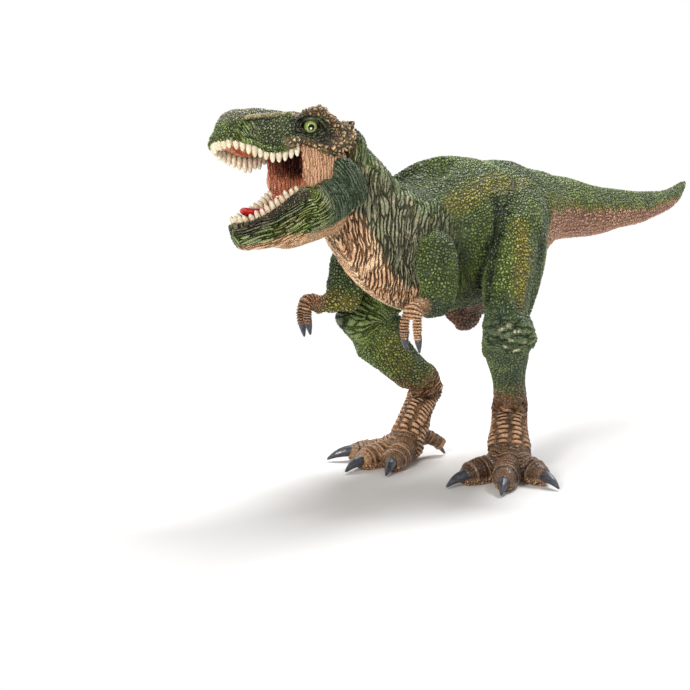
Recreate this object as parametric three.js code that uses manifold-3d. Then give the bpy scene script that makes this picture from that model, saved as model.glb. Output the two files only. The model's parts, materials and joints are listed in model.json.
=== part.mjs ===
// A toy meat-eating dinosaur on two legs, moulded in solid vinyl and painted by hand.
// It strides with its head turned to its right and its mouth wide open. The lower jaw turns on a pin
// through the back of the mouth lining, and its two rear lobes pass outside the pink cheek skin.
// Every other piece is glued into a pocket of the piece that carries it, and leaves a fine gap there.
// Millimetres, +Z up. The snout points along -Y, and the figure's left side is +X.
// The origin is on the floor, under the centre of the whole figure.

import * as THREE from 'three';
import { mergeVertices } from 'three/addons/utils/BufferGeometryUtils.js';
import Module from 'manifold-3d';

const wasm = await Module();
wasm.setup();

// Fits
const seatGap = 0.3; // between a piece and the pocket it is glued into
const toothGap = 0.5; // round the teeth, where they leave their pocket
const runningGap = 0.45; // between the jaw and what it turns past
const pinGap = 0.1; // between the pin and the jaw's bore

// Torso and neck
const torsoLength = 123; // from the tail root to the back of the skull, along -Y
const torsoWidth = 54; // across the ribs
const torsoDepth = 57; // from the back to the belly, at the ribs
const tailRootBehindHip = 40;
const spineUnderHip = 6; // how far the torso's middle line runs below the hip joints
const keelRadius = 5.2; // the brown swelling under the pelvis

// Tail
const tailLength = 117;
const tailRootRadius = 13;
const tailPlugLength = 12; // the root that is glued into the torso

// Legs
const hipSpread = 31; // between the two hip joints
const thighLength = 58;
const shinLength = 50;
const metatarsusLength = 21;
const ankleHeight = 8; // the metatarsus's lower end over the floor
const thighRadius = 17;
const kneeRadius = 8.3;
const hockRadius = 5.9;
const hipPlugDepth = 6; // how far inside the hip joint the leg's flat root lies
const anklePlugLength = 7; // how far the shin's end runs down inside the foot
const anklePlugRadius = 3.7;

// Feet
const toeLength = 23.5; // middle toe, without its claw
const toeRadius = 4.6;
const toeClawLength = 10.4;
const toeClawRadius = 2.7;
const rearToeLength = 12;
const rearToeRadius = 2.5;
const rearClawLength = 6.8;
const rearClawRadius = 1.5;
const clawSeat = 2.6; // how deep a claw is set into its toe

// Arms
const leftShoulderAhead = 54; // of the hip joints
const rightShoulderAhead = 53;
const upperArmLength = 22;
const forearmLength = 16.4;
const upperArmRadius = 6.4;
const wristRadius = 3.1;
const fingerLength = 6.4;
const fingerRadius = 1.9;
const fingerSpacing = 4;
const fingerClawLength = 6.5;
const fingerClawRadius = 1.35;
const fingerClawSeat = 0.8;

// Head, measured from the jaw hinge
const headLength = 42.5;
const headHeight = 21;
const headWidth = 29;
const hingeAheadOfNeck = 3;
const hingeUnderNeck = 1;
const neckFace = 4; // behind the hinge, where the neck ends
const browRadius = 3.3;
const eyeRadius = 2.6;
const mouthRoofHeight = 7.6; // over the hinge
const palateThickness = 1.6;
const palateWidth = 14.5;
const gumWidth = 1.7;
const gumHeight = 2;
const gumShow = 0.25; // of the gum strip, past the lip
const lipHalfThickness = 1.3; // of the roll over the upper teeth
const lipHalfHeight = 2.1;

// Mouth lining
const liningWidth = 22.6;
const liningWall = 1.6;
const liningReach = 15; // how far forward of the hinge the cheek skin comes
const rowGap = 1.4; // between the cheek skin's front and the rear end of the rows of teeth
const throatWall = 2.6; // the thickness of the throat's back, in front of and behind the pin

// Jaw
const jawLength = 42.5;
const jawDepth = 20;
const jawWidth = 34;
const mouthFloorDepth = 6.5; // under the level jaw's hinge line
const lobeHalfLength = 5.3;
const lobeHalfHeight = 9;
const lobeHalfThickness = 4.2;
const pouchHalfDepth = 5;
const pinRadius = 1.5;
const pinLength = 26.5;
const tongueHalfWidth = 5.2;
const tongueHalfThickness = 1.9;

// Teeth
const upperToothCount = 31;
const lowerToothCount = 27;
const upperToothLength = 3.1;
const lowerToothLength = 2.9;
const toothRadius = 1.02;
const toothSeat = 0.6;

// Angles, in degrees. A yaw is outwards from straight ahead, and a lean is from the vertical.
const thighLean = 49.8;
const shinLean = 53;
const metatarsusLean = 31;
const leftLeg = { side: 1, thighYaw: 33, shinYaw: 34, footYaw: 31, toeYaws: [-40, 0, 43] };
const rightLeg = { side: -1, thighYaw: 14, shinYaw: 6, footYaw: 2, toeYaws: [-27, 0, 40] };
const rearToeYaw = 160;
const rearToeDrop = 35;
const headYaw = 18; // turned to its right
const headPitch = 4; // snout lifted
const headRoll = 12; // left side lifted
const jawOpening = 26; // between the photographed open mouth and the level jaw
const liningArcStart = 16; // the cheek skin's round lower edge starts and ends this far below level
const liningArcEnd = 68;

// Shapes, as shares of the sizes above.

// Torso, from the tail root to the skull: along the length, rise over the middle line, half width,
// above and below the ring's centre.
const torsoShares = [
  [0.0, 0.03, 0.21, 0.2, 0.22],
  [0.11, 0.05, 0.3, 0.27, 0.34],
  [0.22, 0.04, 0.39, 0.35, 0.47],
  [0.34, -0.01, 0.46, 0.42, 0.5],
  [0.49, -0.01, 0.5, 0.465, 0.51],
  [0.62, 0.01, 0.465, 0.41, 0.49],
  [0.725, 0.08, 0.385, 0.28, 0.46],
  [0.82, 0.21, 0.32, 0.15, 0.4],
  [0.905, 0.37, 0.27, 0.16, 0.33],
  [1.0, 0.5, 0.24, 0.2, 0.28],
];
const torsoTaperShare = 0.2;
const neckBendShare = 0.725; // along the torso, where the neck starts to turn to the right
const neckShiftShare = 0.05; // of the torso's width, at the skull

// Keel: along the torso, drop under the middle line, share of its radius.
const keelShares = [
  [0.4, 0.42, 1],
  [0.46, 0.56, 0.92],
  [0.52, 0.44, 0.9],
];

// Tail: along, sideways and rise as shares of the length, then half width, above and below.
const tailShares = [
  [0.0, 0.0, 0.0, 0.86, 0.9, 0.96],
  [0.2, -0.01, -0.03, 0.72, 0.76, 0.78],
  [0.42, -0.03, -0.045, 0.54, 0.58, 0.55],
  [0.63, -0.065, -0.055, 0.38, 0.4, 0.38],
  [0.82, -0.105, -0.045, 0.25, 0.26, 0.25],
  [0.94, -0.13, -0.02, 0.15, 0.16, 0.16],
  [1.0, -0.14, 0.0, 0.08, 0.08, 0.08],
];

// Limb bones: along the bone, half width, front and back.
const thighShares = [
  [-0.12, 0.5, 0.6, 0.85],
  [0.1, 0.68, 0.9, 1.1],
  [0.36, 0.7, 0.95, 1.0],
  [0.66, 0.6, 0.8, 0.7],
  [0.88, 0.5, 0.6, 0.5],
  [1.0, 0.42, 0.48, 0.4],
];
const shinShares = [
  [-0.12, 0.55, 0.6, 0.5],
  [-0.02, 0.86, 0.82, 0.75],
  [0.12, 0.95, 0.9, 1.0],
  [0.32, 0.88, 0.82, 1.2],
  [0.55, 0.72, 0.72, 0.95],
  [0.8, 0.66, 0.66, 0.72],
  [0.98, 0.68, 0.64, 0.7],
];
const metatarsusShares = [
  [-0.1, 0.92, 0.78, 0.78],
  [0.06, 1.05, 0.9, 1.02],
  [0.25, 1.04, 0.88, 1.0],
  [0.6, 1.06, 0.92, 0.96],
  [0.95, 1.12, 1.05, 0.98],
  [1.25, 1.3, 1.2, 0.95],
];
const upperArmShares = [
  [-0.1, 0.8, 0.8, 0.8],
  [0.12, 1.05, 1.05, 1.05],
  [0.5, 1.08, 1.1, 1.1],
  [1.0, 0.84, 0.84, 0.84],
];
const forearmShares = [
  [0.0, 0.84, 0.84, 0.84],
  [0.5, 0.7, 0.7, 0.7],
  [1.0, 0.48, 0.48, 0.48],
];

// Toes, from the inner one outwards: length on the left and the right foot, and radius.
const toes = [
  { name: 'inner', lengthShares: { left: 0.88, right: 0.92 }, radiusShare: 0.96 },
  { name: 'middle', lengthShares: { left: 0.98, right: 1 }, radiusShare: 1 },
  { name: 'outer', lengthShares: { left: 0.7, right: 0.8 }, radiusShare: 0.96 },
];
// A toe's rings: along it, height in ankle heights, radius.
const toeShares = [
  [-0.12, 0.64, 1.2],
  [0.2, 0.62, 1.12],
  [0.45, 0.54, 0.98],
  [0.7, 0.46, 1.0],
  [0.92, 0.44, 0.96],
];
// A claw's rings: along it, radius, droop.
const clawShares = [
  [0, 1, 0],
  [0.35, 0.92, 0.02],
  [0.7, 0.6, 0.12],
  [1, 0.16, 0.3],
];
const rearToeShare = 0.2; // up the metatarsus

// Arms. The shoulder is out in half widths of the torso there, and up from its middle line; the leans
// are sideways and up or ahead.
const arms = {
  left: {
    side: 1,
    shoulderAhead: leftShoulderAhead,
    shoulderShares: [1.09, -0.133],
    upperShares: [0.06, 0],
    foreShares: [0.15, -0.06],
  },
  right: {
    side: -1,
    shoulderAhead: rightShoulderAhead,
    shoulderShares: [0.915, -0.221],
    upperShares: [0.05, -0.03],
    foreShares: [0.22, 0.24],
  },
};
const knuckleShare = 0.3; // of the finger's length, ahead of the wrist
const knuckleDropShare = 0.5; // of the finger's radius
const fingerCurlShare = 0.22; // how far the fingers lean back as they hang

// Skull: forwards of the hinge, top, bottom, half width.
const skullShares = [
  [-0.18, 0.5, 0.16, 0.2],
  [-0.12, 0.62, 0.02, 0.37],
  [-0.03, 0.72, -0.08, 0.45],
  [0.09, 0.8, -0.1, 0.47],
  [0.24, 0.82, -0.1, 0.45],
  [0.4, 0.87, -0.2, 0.395],
  [0.6, 0.93, -0.32, 0.365],
  [0.75, 0.9, -0.28, 0.345],
  [0.85, 0.76, -0.18, 0.295],
  [0.93, 0.57, 0.0, 0.215],
  [0.98, 0.42, 0.1, 0.11],
];
// The skull's lower edge, from the snout back: forwards, height.
const lipShares = [
  [1.1, 0.375],
  [0.95, 0.367],
  [0.85, 0.335],
  [0.76, 0.26],
  [0.66, 0.155],
  [0.54, 0.14],
  [0.44, 0.19],
  [0.36, 0.27],
  [0.23, 0.21],
  [0.1, 0.1],
  [0.0, 0.08],
  [-0.3, 0.12],
];
// The middle of a row of teeth: half width, and forwards from its rear end to the tip of the head.
const upperRowShares = [
  [0.375, 0],
  [0.35, 0.14],
  [0.315, 0.35],
  [0.3, 0.58],
  [0.262, 0.755],
  [0.17, 0.865],
];
const lowerRowShares = [
  [0.25, 0.055],
  [0.215, 0.265],
  [0.19, 0.51],
  [0.165, 0.7],
  [0.105, 0.83],
];
const rowTipShare = 0.025; // from the last listed tooth to the tip of the row
const palateShares = [
  [-0.02, 1.25],
  [0.5, 1.1],
  [0.8, 0.5],
];
// Brow ridge: forwards, half width, height, radius.
const browShares = [
  [0.32, 0.33, 0.69, 0.5],
  [0.1, 0.33, 0.79, 1],
  [-0.11, 0.33, 0.56, 0.72],
];
const eyeShares = [0.255, 0.37, 0.585];
const cheekHollowShare = 0.86; // how far the cheek skin's front edge bows back, of its reach

// Jaw: forwards of the hinge, top, bottom, half width, when level.
const jawShares = [
  [-0.07, -0.12, -0.5, 0.4],
  [0.02, 0.0, -0.72, 0.46],
  [0.12, 0.02, -0.91, 0.47],
  [0.24, 0.0, -0.97, 0.45],
  [0.36, 0.12, -0.95, 0.4],
  [0.47, 0.2, -0.89, 0.345],
  [0.6, 0.22, -0.8, 0.29],
  [0.75, 0.2, -0.72, 0.252],
  [0.87, 0.14, -0.63, 0.22],
  [0.935, 0.06, -0.53, 0.165],
  [0.97, -0.05, -0.4, 0.085],
];
const jawLipShares = [
  [1.1, -0.05],
  [0.96, -0.07],
  [0.88, -0.12],
  [0.75, -0.135],
  [0.6, -0.11],
  [0.47, -0.06],
  [0.36, -0.08],
  [0.24, -0.15],
  [0.14, -0.09],
  [-0.3, -0.05],
];
const lobeShares = [0.02, 0.385, -0.34];
// The soft throat under the jaw: forwards, bottom, half width.
const pouchShares = [
  [0.66, 0.76, 0.12],
  [0.56, 0.93, 0.2],
  [0.44, 0.98, 0.25],
  [0.28, 1.04, 0.28],
  [0.12, 1.06, 0.26],
];
const pouchTopShare = 0.3;
// Tongue: forwards, height in jaw depths, half width, half thickness.
const tongueShares = [
  [0.4, -0.31, 1, 1],
  [0.56, -0.28, 0.96, 1.1],
  [0.7, -0.2, 0.84, 1],
  [0.8, -0.08, 0.64, 0.8],
  [0.84, 0.0, 0.4, 0.5],
];

const skinGreen = 0x3f6b2c;
const footBrown = 0x8a5c34;
const mouthPink = 0xc9705a;
const tongueRed = 0xb2403a;
const toothIvory = 0xeee6cf;
const clawGrey = 0x3c3d45;
const pinSteel = 0x9a9da0;

const deg = THREE.MathUtils.degToRad;
const vec = (x, y, z) => new THREE.Vector3(x, y, z);
const up = vec(0, 0, 1);
const ahead = vec(0, -1, 0);

function plastic(color, roughness) {
  return new THREE.MeshStandardMaterial({ color, roughness, metalness: 0 });
}

const skin = plastic(skinGreen, 0.6);
const scutes = plastic(footBrown, 0.6);
const flesh = plastic(mouthPink, 0.45);
const red = plastic(tongueRed, 0.4);
const ivory = plastic(toothIvory, 0.35);
const horn = plastic(clawGrey, 0.3);
const steel = new THREE.MeshStandardMaterial({ color: pinSteel, roughness: 0.35, metalness: 0.9 });

// Solids and meshes

function solidOf(geometry) {
  const bare = geometry.clone();
  for (const name of Object.keys(bare.attributes)) {
    if (name !== 'position') bare.deleteAttribute(name);
  }
  const merged = mergeVertices(bare, 1e-4);
  return new wasm.Manifold(
    new wasm.Mesh({
      numProp: 3,
      vertProperties: new Float32Array(merged.attributes.position.array),
      triVerts: new Uint32Array(merged.index.array),
    }),
  );
}

function geometryOf(solid) {
  const mesh = solid.getMesh();
  const geometry = new THREE.BufferGeometry();
  geometry.setAttribute('position', new THREE.BufferAttribute(mesh.vertProperties, 3));
  geometry.setIndex(new THREE.BufferAttribute(mesh.triVerts, 1));
  geometry.computeVertexNormals();
  return geometry;
}

const joined = (first, ...others) => others.reduce((whole, next) => whole.add(next), first);
const cutBy = (first, ...others) => others.reduce((whole, next) => whole.subtract(next), first);
const moved = (solid, matrix) => solidOf(geometryOf(solid).applyMatrix4(matrix));

// A mesh of a solid's largest body, without the slivers that a cut can leave.
function piece(name, solid, material) {
  const body = solid.decompose().reduce((a, b) => (a.volume() > b.volume() ? a : b));
  const mesh = new THREE.Mesh(geometryOf(body), material);
  mesh.name = name;
  return mesh;
}

function block(low, high) {
  const size = high.clone().sub(low);
  const box = new THREE.BoxGeometry(size.x, size.y, size.z);
  const middle = low.clone().add(high).multiplyScalar(0.5);
  return solidOf(box.translate(middle.x, middle.y, middle.z));
}

// A closed skin through oval rings. Each station holds the ring's centre `at`, its half width `wide`
// and its heights `above` and `below` the centre line, towards and away from `overhead`. `square`
// over 1 makes the rings boxier, `taper` narrows their lower half, `grow` adds a clearance all round,
// and `cap` is the bulge of the ends.
function loft(stations, options = {}) {
  const { sides = 14, steps = 14, overhead = up, square = 1, taper = 0, grow = 0, cap = 0.35 } = options;
  const places = stations.map((s) => s.at);
  const sizes = stations.map((s) => vec(s.wide, s.above, s.below));
  const centreLine = new THREE.CatmullRomCurve3(places, false, 'centripetal');
  const sizeLine = new THREE.CatmullRomCurve3(sizes, false, 'catmullrom', 0.5);
  const bowed = (value) => Math.sign(value) * Math.abs(value) ** (1 / square);

  function ringPoint(t, k) {
    const tangent = centreLine.getTangent(t);
    const across = tangent.clone().cross(overhead).normalize();
    const upwards = across.clone().cross(tangent).normalize();
    const size = sizeLine.getPoint(t);
    const angle = (2 * Math.PI * k) / sides;
    const [c, s] = [Math.cos(angle), Math.sin(angle)];
    const tall = s > 0 ? size.y : size.z;
    const wide = size.x * (1 - taper * Math.max(0, -s));
    return centreLine
      .getPoint(t)
      .addScaledVector(across, (wide + grow) * bowed(c))
      .addScaledVector(upwards, (tall + grow) * bowed(s));
  }

  const positions = [];
  const index = [];
  for (let i = 0; i <= steps; i += 1) {
    for (let k = 0; k < sides; k += 1) positions.push(...ringPoint(i / steps, k).toArray());
  }
  for (let i = 0; i < steps; i += 1) {
    for (let k = 0; k < sides; k += 1) {
      const next = (k + 1) % sides;
      const [a, b, c, d] = [i * sides + k, (i + 1) * sides + k, (i + 1) * sides + next, i * sides + next];
      index.push(a, b, c, a, c, d);
    }
  }
  for (const end of [0, 1]) {
    const size = sizeLine.getPoint(end);
    const bulge = cap * Math.min(size.x, size.y, size.z) + grow;
    const outwards = centreLine.getTangent(end).multiplyScalar(end ? bulge : -bulge);
    positions.push(...centreLine.getPoint(end).add(outwards).toArray());
    const pole = positions.length / 3 - 1;
    const first = end * steps * sides;
    for (let k = 0; k < sides; k += 1) {
      const next = (k + 1) % sides;
      if (end) index.push(pole, first + next, first + k);
      else index.push(pole, first + k, first + next);
    }
  }
  const geometry = new THREE.BufferGeometry();
  geometry.setAttribute('position', new THREE.Float32BufferAttribute(positions, 3));
  geometry.setIndex(index);
  return solidOf(geometry);
}

const round = (at, radius) => ({ at, wide: radius, above: radius, below: radius });

// Stations along a straight bone.
function bone(from, to, shares, radius) {
  return shares.map(([along, wide, above, below]) => ({
    at: from.clone().lerp(to, along),
    wide: wide * radius,
    above: above * radius,
    below: below * radius,
  }));
}

// Extrudes a side view, drawn towards the tail and up, across the head.
function sideView(shape, width) {
  const slab = new THREE.ExtrudeGeometry(shape, { depth: width, bevelEnabled: false, curveSegments: 8 });
  slab.applyMatrix4(new THREE.Matrix4().makeBasis(vec(0, 1, 0), vec(0, 0, 1), vec(1, 0, 0)));
  return solidOf(slab.translate(-width / 2, 0, 0));
}

// Skeleton

// A level direction, `yaw` outwards from straight ahead on the given side of the figure.
const heading = (yaw, side) => vec(side * Math.sin(deg(yaw)), -Math.cos(deg(yaw)), 0);

// Downwards, leaning towards that heading.
function downwards(lean, yaw, side) {
  const flat = heading(yaw, side).multiplyScalar(Math.sin(deg(lean)));
  return flat.addScaledVector(up, -Math.cos(deg(lean)));
}

const hipHeight =
  ankleHeight +
  metatarsusLength * Math.cos(deg(metatarsusLean)) +
  shinLength * Math.cos(deg(shinLean)) +
  thighLength * Math.cos(deg(thighLean));
const spineHeight = hipHeight - spineUnderHip;

function legJoints({ side, thighYaw, shinYaw }) {
  const hip = vec((side * hipSpread) / 2, 0, hipHeight);
  const knee = hip.clone().addScaledVector(downwards(thighLean, thighYaw, side), thighLength);
  const hock = knee.clone().addScaledVector(downwards(-shinLean, shinYaw, side), shinLength);
  const ankle = hock.clone().addScaledVector(downwards(metatarsusLean, shinYaw, side), metatarsusLength);
  return { hip, knee, hock, ankle, front: heading(shinYaw, side) };
}

// A place in the torso: along it, sideways and up, as shares of its length, width and depth.
function torsoPlace(along, sideways, rise) {
  const y = tailRootBehindHip - along * torsoLength;
  return vec(sideways * torsoWidth, y, spineHeight + rise * torsoDepth);
}

// The height of the torso's middle line and its half width at a place along it.
function torsoSection(along) {
  const next = Math.max(1, torsoShares.findIndex(([place]) => place >= along));
  const [from, to] = [torsoShares[next - 1], torsoShares[next]];
  return [1, 2].map((k) => THREE.MathUtils.mapLinear(along, from[0], to[0], from[k], to[k]));
}

// Torso, neck and tail

const torsoStations = torsoShares.map(([along, rise, wide, above, below]) => {
  const turned = Math.max(0, along - neckBendShare) / (1 - neckBendShare);
  return {
    at: torsoPlace(along, -neckShiftShare * turned, rise),
    wide: wide * torsoWidth,
    above: above * torsoDepth,
    below: below * torsoDepth,
  };
});
const tailRoot = torsoStations[0].at;
const neckEnd = torsoStations[torsoStations.length - 1].at;

const torsoForm = (grow = 0) => loft(torsoStations, { sides: 22, steps: 26, taper: torsoTaperShare, grow });

function keelForm() {
  const rings = keelShares.map(([along, drop, radius]) =>
    round(torsoPlace(along, 0, -drop), radius * keelRadius),
  );
  return loft(rings, { sides: 10, steps: 6 });
}

function tailForm(grow = 0) {
  const stations = tailShares.map(([along, sideways, rise, wide, above, below]) => ({
    at: tailRoot.clone().addScaledVector(vec(sideways, along, rise), tailLength),
    wide: wide * tailRootRadius,
    above: above * tailRootRadius,
    below: below * tailRootRadius,
  }));
  const plug = { ...stations[0], at: tailRoot.clone().addScaledVector(ahead, tailPlugLength) };
  return loft([plug, ...stations], { sides: 16, steps: 20, grow });
}

// Legs and feet

function legForm(leg, grow = 0) {
  const { hip, knee, hock, ankle, front } = legJoints(leg);
  const plugEnd = hock.clone().addScaledVector(ankle.clone().sub(hock).normalize(), anklePlugLength);
  const shin = [...bone(knee, hock, shinShares, kneeRadius), round(plugEnd, anklePlugRadius)];
  return joined(
    loft(bone(hip, knee, thighShares, thighRadius), { sides: 16, steps: 12, overhead: front, grow }),
    loft(shin, { sides: 14, steps: 16, overhead: front, grow }),
  );
}

// Everything outwards of the flat root of a leg.
function hipSide({ side }, grow = 0) {
  const inner = hipSpread / 2 - hipPlugDepth - grow;
  const outer = torsoWidth + thighLength;
  const [low, high] = side > 0 ? [inner, outer] : [-outer, -inner];
  return block(vec(low, -torsoLength, 0), vec(high, torsoLength, 2 * hipHeight));
}

function clawForm(root, direction, length, radius, grow = 0) {
  const rings = clawShares.map(([along, share, droop]) => {
    const at = root.clone().addScaledVector(direction, along * length);
    return round(at.addScaledVector(up, -droop * length), share * radius);
  });
  return loft(rings, { sides: 8, steps: 6, grow, cap: 0.4 });
}

function toeParts(name, leg, toe, yaw, ankle) {
  const direction = heading(leg.footYaw + yaw, leg.side);
  const length = toe.lengthShares[name] * toeLength;
  const rings = toeShares.map(([along, height, radius]) => {
    const at = vec(ankle.x, ankle.y, height * ankleHeight).addScaledVector(direction, along * length);
    return round(at, radius * toe.radiusShare * toeRadius);
  });
  const tip = rings[rings.length - 1].at;
  const root = tip.clone().addScaledVector(direction, toeRadius - clawSeat);
  const clawRadius = toe.radiusShare * toeClawRadius;
  return {
    name: toe.name,
    toe: loft(rings, { sides: 12, steps: 8, cap: 0.75 }),
    claw: (grow) => clawForm(root, direction, toeClawLength, clawRadius, grow),
  };
}

function rearToeParts(leg, hock, ankle) {
  const root = ankle.clone().lerp(hock, rearToeShare);
  const direction = heading(leg.footYaw - rearToeYaw, leg.side)
    .multiplyScalar(Math.cos(deg(rearToeDrop)))
    .addScaledVector(up, -Math.sin(deg(rearToeDrop)));
  const tip = root.clone().addScaledVector(direction, rearToeLength);
  const clawRoot = tip.clone().addScaledVector(direction, -clawSeat / 2);
  return {
    name: 'rear',
    toe: loft([round(root, rearToeRadius), round(tip, rearToeRadius)], { sides: 10, steps: 4 }),
    claw: (grow) => clawForm(clawRoot, direction, rearClawLength, rearClawRadius, grow),
  };
}

const floor = block(vec(-torsoLength, -torsoLength, -torsoDepth), vec(torsoLength, torsoLength, 0));

function footPieces(name, leg) {
  const { hock, ankle, front } = legJoints(leg);
  const metatarsus = bone(hock, ankle, metatarsusShares, hockRadius);
  const frontToes = toes.map((toe, i) => toeParts(name, leg, toe, leg.toeYaws[i], ankle));
  const digits = [...frontToes, rearToeParts(leg, hock, ankle)];
  const foot = cutBy(
    joined(
      loft(metatarsus, { sides: 14, steps: 8, overhead: front, cap: 0.5 }),
      ...digits.map((digit) => digit.toe),
    ),
    floor,
    legForm(leg, seatGap),
    ...digits.map((digit) => digit.claw(seatGap)),
  );
  return [
    piece(`${name}_foot`, foot, scutes),
    ...digits.map((digit) => piece(`${name}_${digit.name}_toe_claw`, cutBy(digit.claw(0), floor), horn)),
  ];
}

// Arms

function armJoints({ side, shoulderAhead, shoulderShares, upperShares, foreShares }) {
  const along = (tailRootBehindHip + shoulderAhead) / torsoLength;
  const [middle, halfWidth] = torsoSection(along);
  const [out, rise] = shoulderShares;
  const shoulder = torsoPlace(along, side * out * halfWidth, middle + rise);
  const upper = vec(side * upperShares[0], upperShares[1], -1).normalize();
  const elbow = shoulder.clone().addScaledVector(upper, upperArmLength);
  const fore = vec(side * foreShares[0], -1, foreShares[1]).normalize();
  return { shoulder, elbow, fore, wrist: elbow.clone().addScaledVector(fore, forearmLength) };
}

function fingerParts(arm, place) {
  const { fore, wrist } = armJoints(arm);
  const across = fore.clone().cross(up).normalize();
  const base = wrist.clone().addScaledVector(across, place * fingerSpacing);
  const knuckle = base
    .clone()
    .addScaledVector(fore, knuckleShare * fingerLength)
    .addScaledVector(up, -knuckleDropShare * fingerRadius);
  const down = fore.clone().multiplyScalar(-fingerCurlShare).sub(up).normalize();
  const tip = knuckle.clone().addScaledVector(down, fingerLength);
  const clawRoot = tip.clone().addScaledVector(down, -fingerClawSeat);
  const rings = [base, knuckle, tip].map((at) => round(at, fingerRadius));
  const clawRings = clawShares.map(([along, share]) =>
    round(clawRoot.clone().addScaledVector(down, along * fingerClawLength), share * fingerClawRadius),
  );
  return {
    finger: (grow) => loft(rings, { sides: 8, steps: 5, overhead: ahead, grow, cap: 0.5 }),
    claw: (grow) => loft(clawRings, { sides: 8, steps: 5, overhead: ahead, grow }),
  };
}

const fingersOf = (arm) => [-0.5, 0.5].map((place) => fingerParts(arm, place));

function armForm(arm, grow = 0) {
  const { shoulder, elbow, wrist } = armJoints(arm);
  const upper = bone(shoulder, elbow, upperArmShares, upperArmRadius);
  const fore = bone(elbow, wrist, forearmShares, upperArmRadius);
  fore[fore.length - 1] = round(wrist, wristRadius);
  return joined(
    loft(upper, { sides: 12, steps: 8, overhead: ahead, grow, cap: 0.6 }),
    loft(fore, { sides: 12, steps: 8, grow, cap: 0.7 }),
    ...fingersOf(arm).map((parts) => parts.finger(grow)),
  );
}

// Head, in its own frame: the hinge at the origin, the snout along -Y and +Z up

function profile(shares, length, height, width) {
  return shares.map(([forward, top, bottom, wide]) => ({
    at: vec(0, -forward * length, ((top + bottom) / 2) * height),
    wide: wide * width,
    above: ((top - bottom) / 2) * height,
    below: ((top - bottom) / 2) * height,
  }));
}

// Everything past an edge that is given from front to back: below it for -1, above it for 1.
function beyondEdge(shares, length, height, width, direction) {
  const far = direction * 2 * height;
  const shape = new THREE.Shape(
    shares.map(([forward, rise]) => new THREE.Vector2(-forward * length, rise * height)),
  );
  shape.lineTo(-shares[shares.length - 1][0] * length, far);
  shape.lineTo(-shares[0][0] * length, far);
  return sideView(shape, width);
}

function edgeHeight(shares, forward) {
  const behind = shares.findIndex(([along]) => along <= forward);
  const [x0, y0] = shares[behind];
  const [x1, y1] = shares[behind - 1];
  return THREE.MathUtils.mapLinear(forward, x0, x1, y0, y1);
}

// How far forward of the hinge a place in a row of teeth is.
function rowReach(share, length) {
  const start = liningReach + rowGap;
  return start + share * (length - start);
}

// The line of a row of teeth, from one corner of the mouth round the snout to the other.
function rowLine(rowShares, edgeShares, width, length, height) {
  function point(out, share) {
    const reach = rowReach(share, length);
    return vec(out * width, -reach, edgeHeight(edgeShares, reach / length) * height);
  }
  const near = rowShares.map(([out, share]) => point(out, share));
  const far = rowShares.map(([out, share]) => point(-out, share)).reverse();
  const tip = point(0, rowShares[rowShares.length - 1][1] + rowTipShare);
  return new THREE.CatmullRomCurve3([...near, tip, ...far], false, 'centripetal');
}

// A closed strip along a row of teeth, moved up by `lift` and outwards by `out`.
function strip(line, halfWidth, halfHeight, lift, out, options) {
  const steps = 24;
  const rings = [];
  for (let i = 0; i <= steps; i += 1) {
    const outwards = line.getTangentAt(i / steps).cross(up).normalize().negate();
    const at = line.getPointAt(i / steps).addScaledVector(up, lift).addScaledVector(outwards, out);
    rings.push({ at, wide: halfWidth, above: halfHeight, below: halfHeight });
  }
  return loft(rings, { sides: 8, steps, cap: 0.3, ...options });
}

function gumStrip(line, lift, grow = 0) {
  return strip(line, gumWidth / 2, gumHeight / 2, lift, 0, { grow, square: 2.5 });
}

// The pocket of a strip, open past the lip on the side that its teeth point to.
function rowSeat(line, direction) {
  const lift = direction * (gumShow - gumHeight / 2);
  return joined(
    gumStrip(line, lift, seatGap),
    gumStrip(line, lift + (direction * gumHeight) / 2, toothGap),
  );
}

// The roll of the upper lip, which covers the strip.
function lipRoll() {
  return strip(upperRow, lipHalfThickness, lipHalfHeight, lipHalfHeight / 2, lipHalfThickness / 2, {});
}

// The teeth of a row and the strip they stand in. `direction` is 1 for teeth that point up.
// They are longest a third of the way back, shrink towards both ends and vary a little.
function toothRow(line, count, length, direction) {
  const lift = direction * (gumShow - gumHeight / 2);
  const lean = vec(0, 0.125, direction).normalize();
  const row = [gumStrip(line, lift)];
  for (let i = 0; i < count; i += 1) {
    const t = (i + 0.5) / count;
    const fromTip = Math.abs(2 * t - 1);
    const bulk = Math.sin(Math.PI * Math.min(1, fromTip * 0.75 + 0.12));
    const size = 0.72 + 0.34 * bulk + 0.1 * Math.sin(i * 2.4);
    const root = line.getPointAt(t).addScaledVector(up, direction * gumShow);
    const radius = toothRadius * (0.8 + 0.2 * size);
    const rings = [
      round(root.clone().addScaledVector(lean, -toothSeat), radius),
      round(root.clone().addScaledVector(lean, (length * size) / 2), radius * 0.9),
      round(root.clone().addScaledVector(lean, length * size), radius * 0.42),
    ];
    row.push(loft(rings, { sides: 6, steps: 2, overhead: ahead, cap: 0.8 }));
  }
  return joined(...row);
}

const upperRow = rowLine(upperRowShares, lipShares, headWidth, headLength, headHeight);
const lowerRow = rowLine(lowerRowShares, jawLipShares, jawWidth, jawLength, jawDepth);

function skullForm() {
  const stations = profile(skullShares, headLength, headHeight, headWidth);
  return loft(stations, { sides: 20, steps: 20, square: 1.2 });
}

// The hollow between the gums, between two heights over the hinge.
function mouthHollow(rowShares, width, length, low, high) {
  const stations = rowShares.map(([out, share]) => ({
    at: vec(0, -rowReach(share, length), (low + high) / 2),
    wide: out * width - gumWidth / 2,
    above: (high - low) / 2,
    below: (high - low) / 2,
  }));
  return loft(stations, { sides: 16, steps: 8, square: 2.5, cap: 0.2 });
}

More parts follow.
